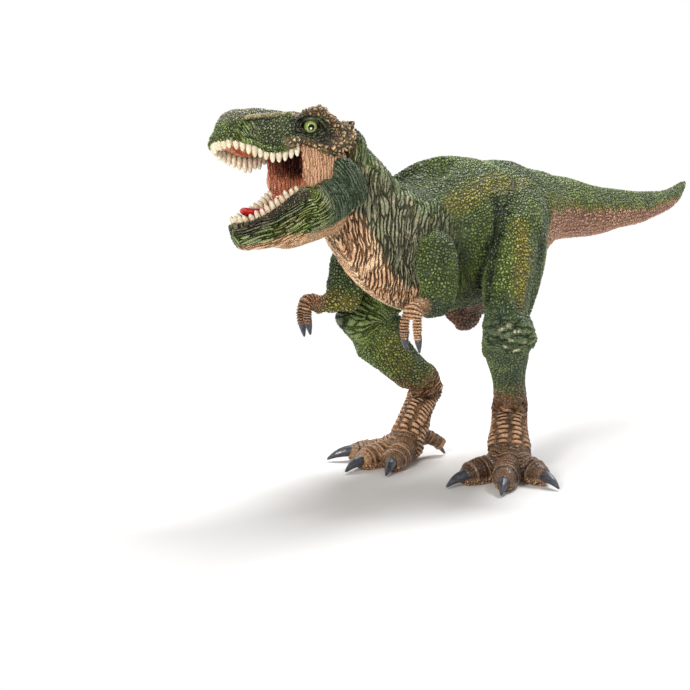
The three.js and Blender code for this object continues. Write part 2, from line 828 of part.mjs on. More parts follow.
// The cheek skin and throat: a fan about the hinge, round below, which the jaw's pocket turns past.
function cheekFan(grow = 0) {
  const reach = liningReach + grow;
  const back = throatWall + grow;
  const top = mouthRoofHeight + grow;
  const [start, end] = [deg(liningArcStart), deg(liningArcEnd)];
  const shape = new THREE.Shape();
  shape.moveTo(-reach, top);
  shape.quadraticCurveTo(-reach * cheekHollowShare, 0, -reach * Math.cos(start), -reach * Math.sin(start));
  shape.absarc(0, 0, reach, Math.PI + start, Math.PI + end, false);
  shape.lineTo(back, -reach * Math.sin(end));
  shape.lineTo(back, top);
  return sideView(shape, liningWidth + 2 * grow);
}

function throatHollow() {
  const half = liningWidth / 2 - liningWall;
  const low = -liningReach + 2 * liningWall;
  const high = mouthRoofHeight - palateThickness / 2;
  return block(vec(-half, -headLength, low), vec(half, -throatWall, high));
}

function palateForm(grow = 0) {
  const stations = palateShares.map(([forward, wide]) => ({
    at: vec(0, -forward * headLength, mouthRoofHeight),
    wide: (wide * palateWidth) / 2,
    above: palateThickness / 2,
    below: palateThickness / 2,
  }));
  return loft(stations, { sides: 10, steps: 10, grow, square: 1.6, cap: 1 });
}

function browForm(side) {
  const rings = browShares.map(([forward, out, rise, radius]) =>
    round(vec(side * out * headWidth, -forward * headLength, rise * headHeight), radius * browRadius),
  );
  return loft(rings, { sides: 10, steps: 8, cap: 0.6 });
}

function eyeForm(side, grow = 0) {
  const [forward, out, rise] = eyeShares;
  const ball = new THREE.SphereGeometry(eyeRadius + grow, 14, 10);
  return solidOf(ball.translate(side * out * headWidth, -forward * headLength, rise * headHeight));
}

function pinForm(grow = 0) {
  const pin = new THREE.CylinderGeometry(pinRadius + grow, pinRadius + grow, pinLength + 2 * grow, 16);
  return solidOf(pin.rotateZ(Math.PI / 2));
}

// Jaw, in the head's frame when it is level

function lobeForm(side, grow) {
  const [forward, out, rise] = lobeShares;
  const ball = new THREE.SphereGeometry(1, 18, 12);
  ball.scale(lobeHalfThickness + grow, lobeHalfLength + grow, lobeHalfHeight + grow);
  return solidOf(ball.translate(side * out * jawWidth, -forward * jawLength, rise * jawDepth));
}

function pouchForm(grow) {
  const stations = pouchShares.map(([forward, bottom, wide]) => ({
    at: vec(0, -forward * jawLength, pouchHalfDepth - bottom * jawDepth),
    wide: wide * jawWidth,
    above: pouchTopShare * pouchHalfDepth,
    below: pouchHalfDepth,
  }));
  return loft(stations, { sides: 14, steps: 8, grow, cap: 0.5 });
}

function jawForm(grow = 0) {
  const shell = loft(profile(jawShares, jawLength, jawDepth, jawWidth), {
    sides: 18,
    steps: 16,
    square: 1.15,
    grow,
  });
  return joined(
    cutBy(shell, beyondEdge(jawLipShares, jawLength, jawDepth, 2 * jawWidth, 1)),
    pouchForm(grow),
    lobeForm(1, grow),
    lobeForm(-1, grow),
  );
}

// The room that the jaw takes while it turns, in the head's frame.
function jawSweep() {
  const form = jawForm(runningGap);
  const turns = [0, 1 / 3, 2 / 3, 1].map((share) => deg(jawOpening * share));
  return joined(...turns.map((turn) => moved(form, new THREE.Matrix4().makeRotationX(turn))));
}

// The round pocket in which the jaw turns about the cheek skin.
function liningPocket() {
  const radius = liningReach + runningGap;
  const drum = new THREE.CylinderGeometry(radius, radius, liningWidth + 2 * runningGap, 48);
  return solidOf(drum.rotateZ(Math.PI / 2));
}

function tongueForm(grow = 0) {
  const stations = tongueShares.map(([forward, rise, wide, thick]) => ({
    at: vec(0, -forward * jawLength, rise * jawDepth),
    wide: wide * tongueHalfWidth,
    above: thick * tongueHalfThickness,
    below: thick * tongueHalfThickness,
  }));
  return loft(stations, { sides: 12, steps: 10, grow, cap: 0.6 });
}

// Assembly

const headPlace = new THREE.Matrix4()
  .makeRotationZ(deg(-headYaw))
  .multiply(new THREE.Matrix4().makeRotationX(deg(-headPitch)))
  .multiply(new THREE.Matrix4().makeRotationY(deg(-headRoll)))
  .setPosition(
    neckEnd.clone().addScaledVector(ahead, hingeAheadOfNeck).addScaledVector(up, -hingeUnderNeck),
  );
const jawPlace = new THREE.Matrix4().makeRotationX(deg(jawOpening));

const group = new THREE.Group();
const head = new THREE.Group();
const jaw = new THREE.Group();
head.applyMatrix4(headPlace);
jaw.applyMatrix4(jawPlace);
head.add(jaw);
group.add(head);

// Head
const aheadOfNeck = (face) =>
  block(vec(-headLength, -2 * headLength, -headLength), vec(headLength, face, headLength));
const toHead = headPlace.clone().invert();
const neckRoot = cutBy(moved(torsoForm(seatGap), toHead), aheadOfNeck(neckFace - seatGap));
const skull = cutBy(
  joined(
    cutBy(
      joined(skullForm(), lipRoll()),
      beyondEdge(lipShares, headLength, headHeight, 2 * headWidth, -1),
    ),
    browForm(1),
    browForm(-1),
  ),
  mouthHollow(upperRowShares, headWidth, headLength, 0, mouthRoofHeight),
  cheekFan(seatGap),
  palateForm(seatGap),
  rowSeat(upperRow, -1),
  eyeForm(1, seatGap),
  eyeForm(-1, seatGap),
  pinForm(seatGap),
  jawSweep(),
  neckRoot,
);
const lining = cutBy(joined(cutBy(cheekFan(), throatHollow()), palateForm()), pinForm(seatGap));
head.add(
  piece('skull', skull, skin),
  piece('mouth_lining', lining, flesh),
  piece('upper_teeth', toothRow(upperRow, upperToothCount, upperToothLength, -1), ivory),
  piece('eye_left', eyeForm(1), horn),
  piece('eye_right', eyeForm(-1), horn),
  piece('jaw_pin', pinForm(), steel),
);

// Jaw
const jawBody = cutBy(
  jawForm(),
  liningPocket(),
  mouthHollow(lowerRowShares, jawWidth, jawLength, -mouthFloorDepth, mouthFloorDepth),
  rowSeat(lowerRow, 1),
  tongueForm(seatGap),
  pinForm(pinGap),
);
jaw.add(
  piece('lower_jaw', jawBody, skin),
  piece('lower_teeth', toothRow(lowerRow, lowerToothCount, lowerToothLength, 1), ivory),
  piece('tongue', tongueForm(), red),
);

// Body
const legRoots = [leftLeg, rightLeg].map((leg) => legForm(leg, seatGap).intersect(hipSide(leg, seatGap)));
const torso = cutBy(
  joined(torsoForm(), keelForm()),
  moved(joined(aheadOfNeck(neckFace).intersect(neckFront()), jawSweep()), headPlace),
  tailForm(seatGap),
  ...legRoots,
  armForm(arms.left, seatGap),
  armForm(arms.right, seatGap),
);
group.add(piece('torso', torso, skin), piece('tail', tailForm(), skin));

// What the skull needs of the room in front of the neck's end.
function neckFront() {
  return block(vec(-headWidth, -2 * headLength, -jawDepth), vec(headWidth, neckFace, 2 * headHeight));
}

for (const [name, leg] of [['left', leftLeg], ['right', rightLeg]]) {
  group.add(piece(`${name}_leg`, legForm(leg).intersect(hipSide(leg)), skin), ...footPieces(name, leg));
}
for (const [name, arm] of Object.entries(arms)) {
  const claws = fingersOf(arm).map((parts) => parts.claw);
  group.add(
    piece(`${name}_arm`, cutBy(armForm(arm), ...claws.map((claw) => claw(seatGap))), skin),
    ...claws.map((claw, i) => piece(`${name}_finger_claw_${i + 1}`, claw(0), horn)),
  );
}

const box = new THREE.Box3().setFromObject(group, true);
const middle = box.getCenter(vec(0, 0, 0));
group.position.set(-middle.x, -middle.y, -box.min.z);

export default group;
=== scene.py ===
"""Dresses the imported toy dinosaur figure: one sculpted, scaled and hand-painted skin over its moulded
pieces, with teeth, tongue, mouth lining, eyes and claws of their own."""

from __future__ import annotations

import json
import logging
import math
from dataclasses import dataclass, field
from enum import Enum
from functools import partial, reduce
from typing import Callable, Iterable, Sequence

import bmesh
import bpy
import numpy as np
from bpy.types import GeometryNodeTree, Material, Mesh, Node, NodeSocket, NodeTree, World
from mathutils import Matrix, Vector, kdtree


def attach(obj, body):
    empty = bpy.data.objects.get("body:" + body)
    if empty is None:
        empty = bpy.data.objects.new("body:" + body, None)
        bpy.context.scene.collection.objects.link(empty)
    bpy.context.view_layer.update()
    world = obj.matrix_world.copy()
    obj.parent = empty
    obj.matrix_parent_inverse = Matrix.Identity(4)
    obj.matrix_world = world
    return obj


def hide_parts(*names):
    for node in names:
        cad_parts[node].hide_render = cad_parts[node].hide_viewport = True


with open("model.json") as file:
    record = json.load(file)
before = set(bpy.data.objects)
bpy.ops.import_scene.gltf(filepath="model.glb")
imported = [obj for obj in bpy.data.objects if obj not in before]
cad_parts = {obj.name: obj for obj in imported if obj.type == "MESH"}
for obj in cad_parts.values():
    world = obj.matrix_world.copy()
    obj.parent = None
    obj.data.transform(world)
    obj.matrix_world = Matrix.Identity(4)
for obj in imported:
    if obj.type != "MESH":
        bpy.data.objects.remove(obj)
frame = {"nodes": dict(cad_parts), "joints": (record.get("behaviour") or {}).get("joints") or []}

logging.basicConfig(level=logging.INFO, format="%(message)s")
log = logging.getLogger("figure")

Array = np.ndarray
Line = Sequence[Sequence[float]]
MM = 0.001
HINGE = np.array((-2.718, -98.958, 115.028))  # of the jaw, in the modelling frame of this script, in mm
SHIFT = HINGE - np.array(frame["joints"][0]["pos_m"]) / MM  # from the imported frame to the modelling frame
JAW_OPEN = math.radians(26)
SIDES = {"left": 1, "right": -1}
FLAT = (0, 1, 1)  # drops how far to the side a place is
OUT_OF_REACH = 999  # puts a place where no stroke reaches it, in mm
HEAD_AXES = np.array(  # to the head's left, to its back and up, one a row
    ((0.934755, -0.288471, 0.207405), (0.308264, 0.948735, -0.069757), (-0.17665, 0.12914, 0.97576))
)


class Body(Enum):
    """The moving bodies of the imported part."""

    FIGURE = "figure"
    JAW = "jaw"


class Paint(Enum):
    """The paints of the figure, as sRGB values from 0 to 255."""

    LEAF = (92, 112, 50)
    BRIGHT_LEAF = (126, 148, 62)
    YELLOW_LEAF = (142, 132, 32)
    PINE = (46, 60, 34)
    BLUE_PINE = (62, 80, 56)
    MOSS_GREY = (134, 130, 108)
    TAN = (202, 154, 110)
    PALE_TAN = (222, 188, 146)
    HORN_TAN = (198, 168, 122)
    BROWN = (136, 94, 60)
    DARK_BROWN = (76, 52, 38)
    ROSE_TAN = (190, 136, 102)
    FLESH = (232, 150, 112)
    CHEEK = (246, 194, 150)
    ROSE = (190, 92, 74)
    # Near-black; also painted shade in the mouth, under the lip and in the eyelids' folds
    THROAT = (52, 22, 16)
    LIP = (88, 78, 62)
    # Pale paint; also the specks of painted sheen on the crests
    BONE_DOT = (238, 232, 190)

    @property
    def linear(self) -> Array:
        """The paint as linear RGB."""
        return linear(self.value)


def linear(rgb: Sequence[float]) -> Array:
    """Turns sRGB values from 0 to 255 into linear RGB."""
    share = np.asarray(rgb, float) / 255
    return np.where(share <= 0.04045, share / 12.92, ((share + 0.055) / 1.055) ** 2.4)


def to_head(points: Array) -> Array:
    """Places points in the head's frame: the hinge at 0, +X its left, -Y its snout."""
    return (points - HINGE) @ HEAD_AXES.T


def to_jaw(points: Array) -> Array:
    """Places points in the frame of the open jaw."""
    head = to_head(points)
    c, s = math.cos(JAW_OPEN), math.sin(JAW_OPEN)
    return np.stack((head[:, 0], c * head[:, 1] + s * head[:, 2], c * head[:, 2] - s * head[:, 1]), 1)


def from_head(points: Array) -> Array:
    """Places points of the head's frame in the modelling frame."""
    return np.asarray(points, float) @ HEAD_AXES + HINGE


def from_jaw(points: Array) -> Array:
    """Places points of the open jaw's frame in the modelling frame."""
    points = np.asarray(points, float)
    c, s = math.cos(JAW_OPEN), math.sin(JAW_OPEN)
    return from_head(
        np.stack((points[:, 0], c * points[:, 1] - s * points[:, 2], s * points[:, 1] + c * points[:, 2]), 1)
    )


def mirrored(points: Array) -> Array:
    """Folds the right side of the head or the jaw onto its left."""
    return np.abs(points) * (1, 0, 0) + points * FLAT


def columns(*values: Array) -> Array:
    """Stands arrays side by side as the columns of one."""
    return np.stack(values, 1)


def ramp(low: float, high: float, value: Array) -> Array:
    """Rises smoothly from 0 at `low` to 1 at `high`; it falls where `low` is the greater."""
    t = np.clip((value - low) / (high - low), 0, 1)
    return t * t * (3 - 2 * t)


def ripple(points: Array, size: float, seed: int) -> Array:
    """A soft noise from -1 to 1 made of waves in seeded directions.

    Args:
        points: Places in mm.
        size: The length of the waves, in mm.
        seed: Fixes the directions.

    Returns:
        One value for each point.
    """
    rng = np.random.default_rng(seed)
    total = np.zeros(len(points))
    for k in range(7):
        way = rng.normal(size=3)
        way *= (0.6 + 0.25 * k) / np.linalg.norm(way)
        total += np.sin(points @ way * (2 * math.pi / size) + rng.uniform(0, 2 * math.pi)) / (1 + 0.3 * k)
    return np.clip(total / 2.6, -1, 1)


def ripples(points: Array, size: float, seeds: Iterable[int]) -> Array:
    """Soft noises from -1 to 1, one column for each seed."""
    return columns(*(ripple(points, size, seed) for seed in seeds))


def blotches(points: Array, size: float, seed: int, low: float, high: float) -> Array:
    """Soft blotches from 0 to 1, where a ripple rises from `low` to `high`."""
    return ramp(low, high, ripple(points, size, seed))


def polyline_distance(points: Array, line: Line) -> tuple[Array, Array]:
    """Finds how far points are from a line of straight stretches.

    Args:
        points: Places.
        line: The line's corners.

    Returns:
        The distances, and how far along the line, from 0 to 1, the nearest place is.
    """
    corners = np.asarray(line, float)
    best = np.full(len(points), np.inf)
    along = np.zeros(len(points))
    stretches = max(1, len(corners) - 1)
    for k in range(stretches):
        a = corners[k]
        ab = corners[min(k + 1, len(corners) - 1)] - a
        t = np.clip((points - a) @ ab / max(float(ab @ ab), 1e-9), 0, 1)
        d = np.linalg.norm(points - a - t[:, None] * ab, axis=1)
        near = d < best
        best[near] = d[near]
        along[near] = (k + t[near]) / stretches
    return best, along


class Path:
    """A smooth line with a frame that turns with it, which gives places along and round it."""

    chunk = 40000  # how many points are looked up at once, which keeps the memory small

    def __init__(self, corners: Line, front: Sequence[float], samples: int = 120) -> None:
        """Lays the line.

        Args:
            corners: Points that the line passes, in mm.
            front: The direction at which the angle round the line is 0.
            samples: How many places stand for the line.
        """
        c = np.asarray(corners, float)
        c = np.vstack((2 * c[0] - c[1], c, 2 * c[-1] - c[-2]))
        places = []
        for u in np.linspace(0, len(c) - 3 - 1e-9, samples):
            k, t = int(u), u - int(u)
            p0, p1, p2, p3 = c[k : k + 4]
            bend, whip = 2 * p0 - 5 * p1 + 4 * p2 - p3, 3 * p1 - p0 - 3 * p2 + p3
            places.append(0.5 * (2 * p1 + (p2 - p0) * t + bend * t**2 + whip * t**3))
        self.places = np.array(places)
        self.tangents = np.gradient(self.places, axis=0)
        self.tangents /= np.linalg.norm(self.tangents, axis=1)[:, None]
        steps = np.linalg.norm(np.diff(self.places, axis=0), axis=1)
        self.reach = np.concatenate(([0], np.cumsum(steps)))
        front = np.asarray(front, float)
        self.front = front - (self.tangents @ front)[:, None] * self.tangents
        self.front /= np.linalg.norm(self.front, axis=1)[:, None]
        self.side = np.cross(self.tangents, self.front)

    def locate(self, points: Array) -> tuple[Array, Array, Array]:
        """Places points along and round the line.

        Args:
            points: Places in mm.

        Returns:
            How far along the line each is, and its offsets to the front and the side.
        """
        found = np.empty((3, len(points)))
        squares = (self.places**2).sum(1)
        for first in range(0, len(points), self.chunk):
            some = points[first : first + self.chunk]
            near = (squares[None] - 2 * some @ self.places.T).argmin(1)
            offset = some - self.places[near]
            ways = (self.tangents, self.front, self.side)
            found[:, first : first + len(some)] = [(offset * way[near]).sum(1) for way in ways]
            found[0, first : first + len(some)] += self.reach[near]
        return found[0], found[1], found[2]


class Graph:
    """Adds nodes to a shader or geometry tree and links them."""

    def __init__(self, tree: NodeTree) -> None:
        """Takes the tree to work on."""
        self.tree = tree

    @classmethod
    def of(cls, owner: Material | World) -> Graph:
        """Empties the tree of a material or a world and takes it."""
        owner.use_nodes = True
        owner.node_tree.nodes.clear()
        return cls(owner.node_tree)

    @classmethod
    def geometry(cls, name: str, inputs: dict[str, str]) -> tuple[Graph, bpy.types.bpy_prop_collection]:
        """Starts a geometry tree.

        Args:
            name: Its name.
            inputs: The kinds of its named inputs besides the geometry.

        Returns:
            The graph, and the sockets of the tree's inputs.
        """
        graph = cls(bpy.data.node_groups.new(name, "GeometryNodeTree"))
        face = graph.tree.interface
        for title, kind in {"Geometry": "Geometry", **inputs}.items():
            face.new_socket(title, in_out="INPUT", socket_type="NodeSocket" + kind)
        face.new_socket("Geometry", in_out="OUTPUT", socket_type="NodeSocketGeometry")
        return graph, graph.node("NodeGroupInput").outputs

    def end_geometry(self, geometry: NodeSocket, material: NodeSocket) -> None:
        """Ends a geometry tree: makes its instances real and sets their material."""
        real = self.node("GeometryNodeRealizeInstances", {0: geometry}).outputs[0]
        dressed = self.node("GeometryNodeSetMaterial", {"Geometry": real, "Material": material}).outputs[0]
        self.node("NodeGroupOutput", {0: dressed})

    def end_material(self, inputs: dict[str, object]) -> None:
        """Ends a material with a plastic-like shader of the given inputs."""
        surface = self.node("ShaderNodeBsdfPrincipled", inputs).outputs[0]
        self.node("ShaderNodeOutputMaterial", {"Surface": surface})

    def node(self, kind: str, inputs: dict | None = None, **settings: object) -> Node:
        """Adds a node.

        Args:
            kind: Its type.
            inputs: Values or sockets for its inputs, by name or number.
            **settings: Its own properties.

        Returns:
            The node.
        """
        node = self.tree.nodes.new(kind)
        for name, value in settings.items():
            setattr(node, name, value)
        for key, value in (inputs or {}).items():
            socket = node.inputs[key]
            if isinstance(value, NodeSocket):
                self.tree.links.new(value, socket)
            else:
                socket.default_value = value
        return node

    def math(self, operation: str, *values: object, clamp: bool = False) -> NodeSocket:
        """Adds a Math node and returns its result."""
        inputs = dict(enumerate(values))
        return self.node("ShaderNodeMath", inputs, operation=operation, use_clamp=clamp).outputs[0]

    def times(self, first: object, second: object, clamp: bool = False) -> NodeSocket:
        """Multiplies two values and returns the result."""
        return self.math("MULTIPLY", first, second, clamp=clamp)

    def remap(
        self, value: object, low: float, high: float, start: float = 0, end: float = 1
    ) -> NodeSocket:
        """Moves a value smoothly from one range to another and returns it."""
        inputs = {"Value": value, "From Min": low, "From Max": high, "To Min": start, "To Max": end}
        return self.node("ShaderNodeMapRange", inputs, interpolation_type="SMOOTHSTEP").outputs[0]

    def scaled(self, vector: object, scale: object) -> NodeSocket:
        """Multiplies a vector by a number and returns it."""
        return self.node("ShaderNodeVectorMath", {0: vector, "Scale": scale}, operation="SCALE").outputs[0]

    def noise(self, vector: object, scale: float, detail: float = 2) -> NodeSocket:
        """Adds a Noise texture and returns its value."""
        inputs = {"Vector": vector, "Scale": scale, "Detail": detail}
        return self.node("ShaderNodeTexNoise", inputs).outputs[0]

    def mix(self, factor: object, first: object, second: object) -> NodeSocket:
        """Mixes two colours and returns the result."""
        node = self.node("ShaderNodeMix", {0: factor}, data_type="RGBA")
        for socket, value in ((node.inputs[6], first), (node.inputs[7], second)):
            if isinstance(value, NodeSocket):
                self.tree.links.new(value, socket)
            else:
                socket.default_value = (*value, 1)
        return node.outputs[2]

    def shaded(self, colour: object, value: object, saturation: float = 1) -> NodeSocket:
        """Makes a colour lighter or darker, and more or less pure, and returns it."""
        inputs = {"Color": colour, "Value": value, "Saturation": saturation}
        return self.node("ShaderNodeHueSaturation", inputs).outputs[0]

    def named(self, name: str, vector: bool = False) -> NodeSocket:
        """Reads one of the mesh's own attributes, in either kind of tree."""
        if self.tree.type == "GEOMETRY":
            kind = "FLOAT_VECTOR" if vector else "FLOAT"
            node = self.node("GeometryNodeInputNamedAttribute", {"Name": name}, data_type=kind)
            return node.outputs["Attribute"]
        node = self.node("ShaderNodeAttribute", attribute_name=name)
        return node.outputs["Vector" if vector else "Fac"]

    def place(self) -> NodeSocket:
        """Adds the place on the object, in metres."""
        return self.node("ShaderNodeTexCoord").outputs["Object"]

    def seen(self) -> NodeSocket:
        """Adds a value that is 1 where a surface is looked at, straight or by way of a mirror or glass."""
        path = self.node("ShaderNodeLightPath").outputs
        bounced = self.math("MAXIMUM", path["Is Glossy Ray"], path["Is Transmission Ray"])
        return self.math("MAXIMUM", path["Is Camera Ray"], bounced)


@dataclass(frozen=True)
class Pattern:
    """A family of raised cells: one attribute holds its strength, another the place among the cells.

    The cell's rim, measured across from its edge, rises from `low` to `high`. The dark wash, also painted
    shade, fills the groove up to `crack`, and the light brush, also a painted highlight, starts at `bright`.
    """

    name: str
    way: str
    height: float
    low: float = 0.0
    high: float = 0.26
    crack: float = 0.16
    bright: float = 0.12
    brush_and_highlight_width: float = 0.21
    zoom: float = 1.0
    size: str = "3D"
    random: float = 1.0
    level: float = 0.6

    def cells(self, graph: Graph) -> NodeSocket:
        """Adds the place among the cells."""
        return graph.scaled(graph.named(self.way, vector=True), self.zoom)

    def across(self, graph: Graph) -> NodeSocket:
        """Adds the distance across from the nearest edge of a cell."""
        return graph.node(
            "ShaderNodeTexVoronoi",
            {"Vector": self.cells(graph), "Scale": 1.0, "Randomness": self.random},
            voronoi_dimensions=self.size,
            feature="DISTANCE_TO_EDGE",
        ).outputs["Distance"]

    def build(self, graph: Graph) -> list[NodeSocket]:
        """Adds the family to a tree and returns its height, its groove and its crest."""
        weight, across = graph.named(self.name), self.across(graph)
        dome = graph.math("SUBTRACT", graph.remap(across, self.low, self.high), self.level)
        values = (
            graph.times(dome, self.height),
            graph.remap(across, self.crack, 0.02),
            graph.remap(across, self.bright, self.bright + self.brush_and_highlight_width),
        )
        return [graph.times(value, weight) for value in values]


@dataclass(frozen=True)
class Folds(Pattern):
    """Long folds: lines that wave, fade here and there and crack finely across."""

    wave: float = 1.7
    thinness: float = 3.2

    def across(self, graph: Graph) -> NodeSocket:
        """Adds the distance across from the nearest line or crack."""
        cells = self.cells(graph)
        wave = graph.times(graph.noise(graph.scaled(cells, 0.5), 1.0, 2), self.wave)
        along_x = graph.node("ShaderNodeSeparateXYZ", {0: cells}).outputs[0]
        line = graph.math("PINGPONG", graph.math("ADD", along_x, wave), 0.5)
        fade = graph.remap(graph.noise(graph.scaled(cells, 0.9), 1.0, 1), 0.5, 0.68, 0, 0.3)
        cracks = graph.times(super().across(graph), self.thinness)
        return graph.math("MINIMUM", graph.math("ADD", line, fade), cracks)


@dataclass(frozen=True)
class Knobs(Pattern):
    """Coarse knobs, split by creases that wander between them."""

    thinness: float = 9.0

    def across(self, graph: Graph) -> NodeSocket:
        """Adds the distance across from the nearest edge or crease."""
        noise = graph.noise(graph.scaled(self.cells(graph), 0.8), 1.0, 1)
        crease = graph.math("ABSOLUTE", graph.math("SUBTRACT", noise, 0.5))
        return graph.math("MINIMUM", super().across(graph), graph.times(crease, self.thinness))


@dataclass(frozen=True)
class HideRelief:
    """The relief of the moulded hide: round scales, long folds, cross bands and knobs; heights are in mm."""

    patterns: tuple[Pattern, ...] = (
        Pattern("Scale", "ScaleWay", 0.48, low=0.02, random=0.85),
        Folds("Fold", "FoldWay", 0.8, crack=0.15, bright=0.22),
        Pattern("Band", "BandWay", 0.62, low=0.02, crack=0.2, size="2D", random=0.3),
        Knobs("Knob", "ScaleWay", 0.75, high=0.32, crack=0.17, zoom=0.62),
    )

    def build(self, graph: Graph) -> dict[str, NodeSocket]:
        """Adds the patterns to a tree; the geometry and the paint share them.

        Args:
            graph: The shader or geometry tree.

        Returns:
            The sockets `height`, in mm, `groove` and `crest`, from 0 to 1.
        """
        parts = zip(*(pattern.build(graph) for pattern in self.patterns))
        joins = {"height": "ADD", "groove": "MAXIMUM", "crest": "MAXIMUM"}
        joined = (reduce(partial(graph.math, join), part) for join, part in zip(joins.values(), parts))
        return dict(zip(joins, joined))

    def tree(self) -> GeometryNodeTree:
        """Builds the geometry tree that raises the relief along the surface's normals."""
        graph, enter = Graph.geometry("hide_relief", {"Relief strength": "Float", "Material": "Material"})
        height = graph.times(self.build(graph)["height"], MM)
        height = graph.times(height, enter["Relief strength"])
        offset = graph.scaled(graph.node("GeometryNodeInputNormal").outputs[0], height)
        moved = graph.node("GeometryNodeSetPosition", {"Geometry": enter["Geometry"], "Offset": offset})
        graph.end_geometry(moved.outputs[0], enter["Material"])
        return graph.tree


def merged_copy(names: Iterable[str], puff: float) -> Mesh:
    """Copies CAD nodes into one mesh of closed bodies.

    Args:
        names: The nodes.
        puff: How far each surface is moved outwards, in mm.

    Returns:
        The mesh, in metres.
    """
    whole = bmesh.new()
    for name in names:
        part = bmesh.new()
        part.from_mesh(frame["nodes"][name].data)
        bmesh.ops.remove_doubles(part, verts=part.verts, dist=1e-6)
        part.normal_update()
        for vertex in part.verts:
            vertex.co += vertex.normal * puff * MM
        mesh = bpy.data.meshes.new(name + "_copy")
        part.to_mesh(mesh)
        part.free()
        whole.from_mesh(mesh)
        bpy.data.meshes.remove(mesh)
    mesh = bpy.data.meshes.new("merged_copy")
    whole.to_mesh(mesh)
    whole.free()
    return mesh


def modified(
    mesh: Mesh, kind: str, node_inputs: dict | None = None, **settings: object
) -> Mesh:
    """Runs one modifier over a mesh and returns the result as a plain mesh.

    Args:
        mesh: The mesh, which is used up.
        kind: The modifier's type.
        node_inputs: For a Geometry Nodes modifier, its inputs by name.
        **settings: The modifier's properties.

    Returns:
        The new mesh.
    """
    obj = bpy.data.objects.new("work", mesh)
    bpy.context.scene.collection.objects.link(obj)
    modifier = obj.modifiers.new(kind.lower(), kind)
    for name, value in settings.items():
        setattr(modifier, name, value)
    for item in modifier.node_group.interface.items_tree if node_inputs else ():
        if item.in_out == "INPUT" and item.name in node_inputs:
            modifier[item.identifier] = node_inputs[item.name]
    depsgraph = bpy.context.evaluated_depsgraph_get()
    result = bpy.data.meshes.new_from_object(
        obj.evaluated_get(depsgraph), preserve_all_data_layers=True, depsgraph=depsgraph
    )
    bpy.data.objects.remove(obj)
    bpy.data.meshes.remove(mesh)
    return result


def own_points(mesh: Mesh) -> Array:
    """Reads a mesh's points in the modelling frame, in mm."""
    co = np.empty(len(mesh.vertices) * 3, np.float32)
    mesh.vertices.foreach_get("co", co)
    return co.reshape(-1, 3).astype(float) / MM + SHIFT


def mesh_of(points: Array, name: str, *patches: Array) -> Mesh:
    """Makes a mesh from points of the modelling frame.

    Args:
        points: The points, in mm.
        name: The mesh's name.
        *patches: Arrays of faces; within each, all faces have as many corners.

    Returns:
        The mesh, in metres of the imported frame.
    """
    mesh = bpy.data.meshes.new(name)
    corners = np.concatenate([faces.ravel() for faces in patches])
    sizes = np.concatenate([np.full(len(faces), faces.shape[1]) for faces in patches])
    mesh.vertices.add(len(points))
    mesh.vertices.foreach_set("co", ((points - SHIFT) * MM).astype(np.float32).ravel())
    mesh.loops.add(len(corners))
    mesh.loops.foreach_set("vertex_index", corners.astype(np.int32))
    mesh.polygons.add(len(sizes))
    mesh.polygons.foreach_set("loop_start", (np.cumsum(sizes) - sizes).astype(np.int32))
    mesh.polygons.foreach_set("use_smooth", np.ones(len(sizes), bool))
    mesh.update(calc_edges=True)
    return mesh


def quads_of(mesh: Mesh) -> Array:
    """Reads the corners of a mesh's faces, which all have as many."""
    corners = np.empty(len(mesh.loops), np.int32)
    mesh.loops.foreach_get("vertex_index", corners)
    return corners.reshape(len(mesh.polygons), -1)


def sides_of(faces: Array) -> Array:
    """Lists the sides of faces as pairs of points, in the direction in which each face runs."""
    return np.vstack([columns(faces[:, k - 1], faces[:, k]) for k in range(faces.shape[1])])


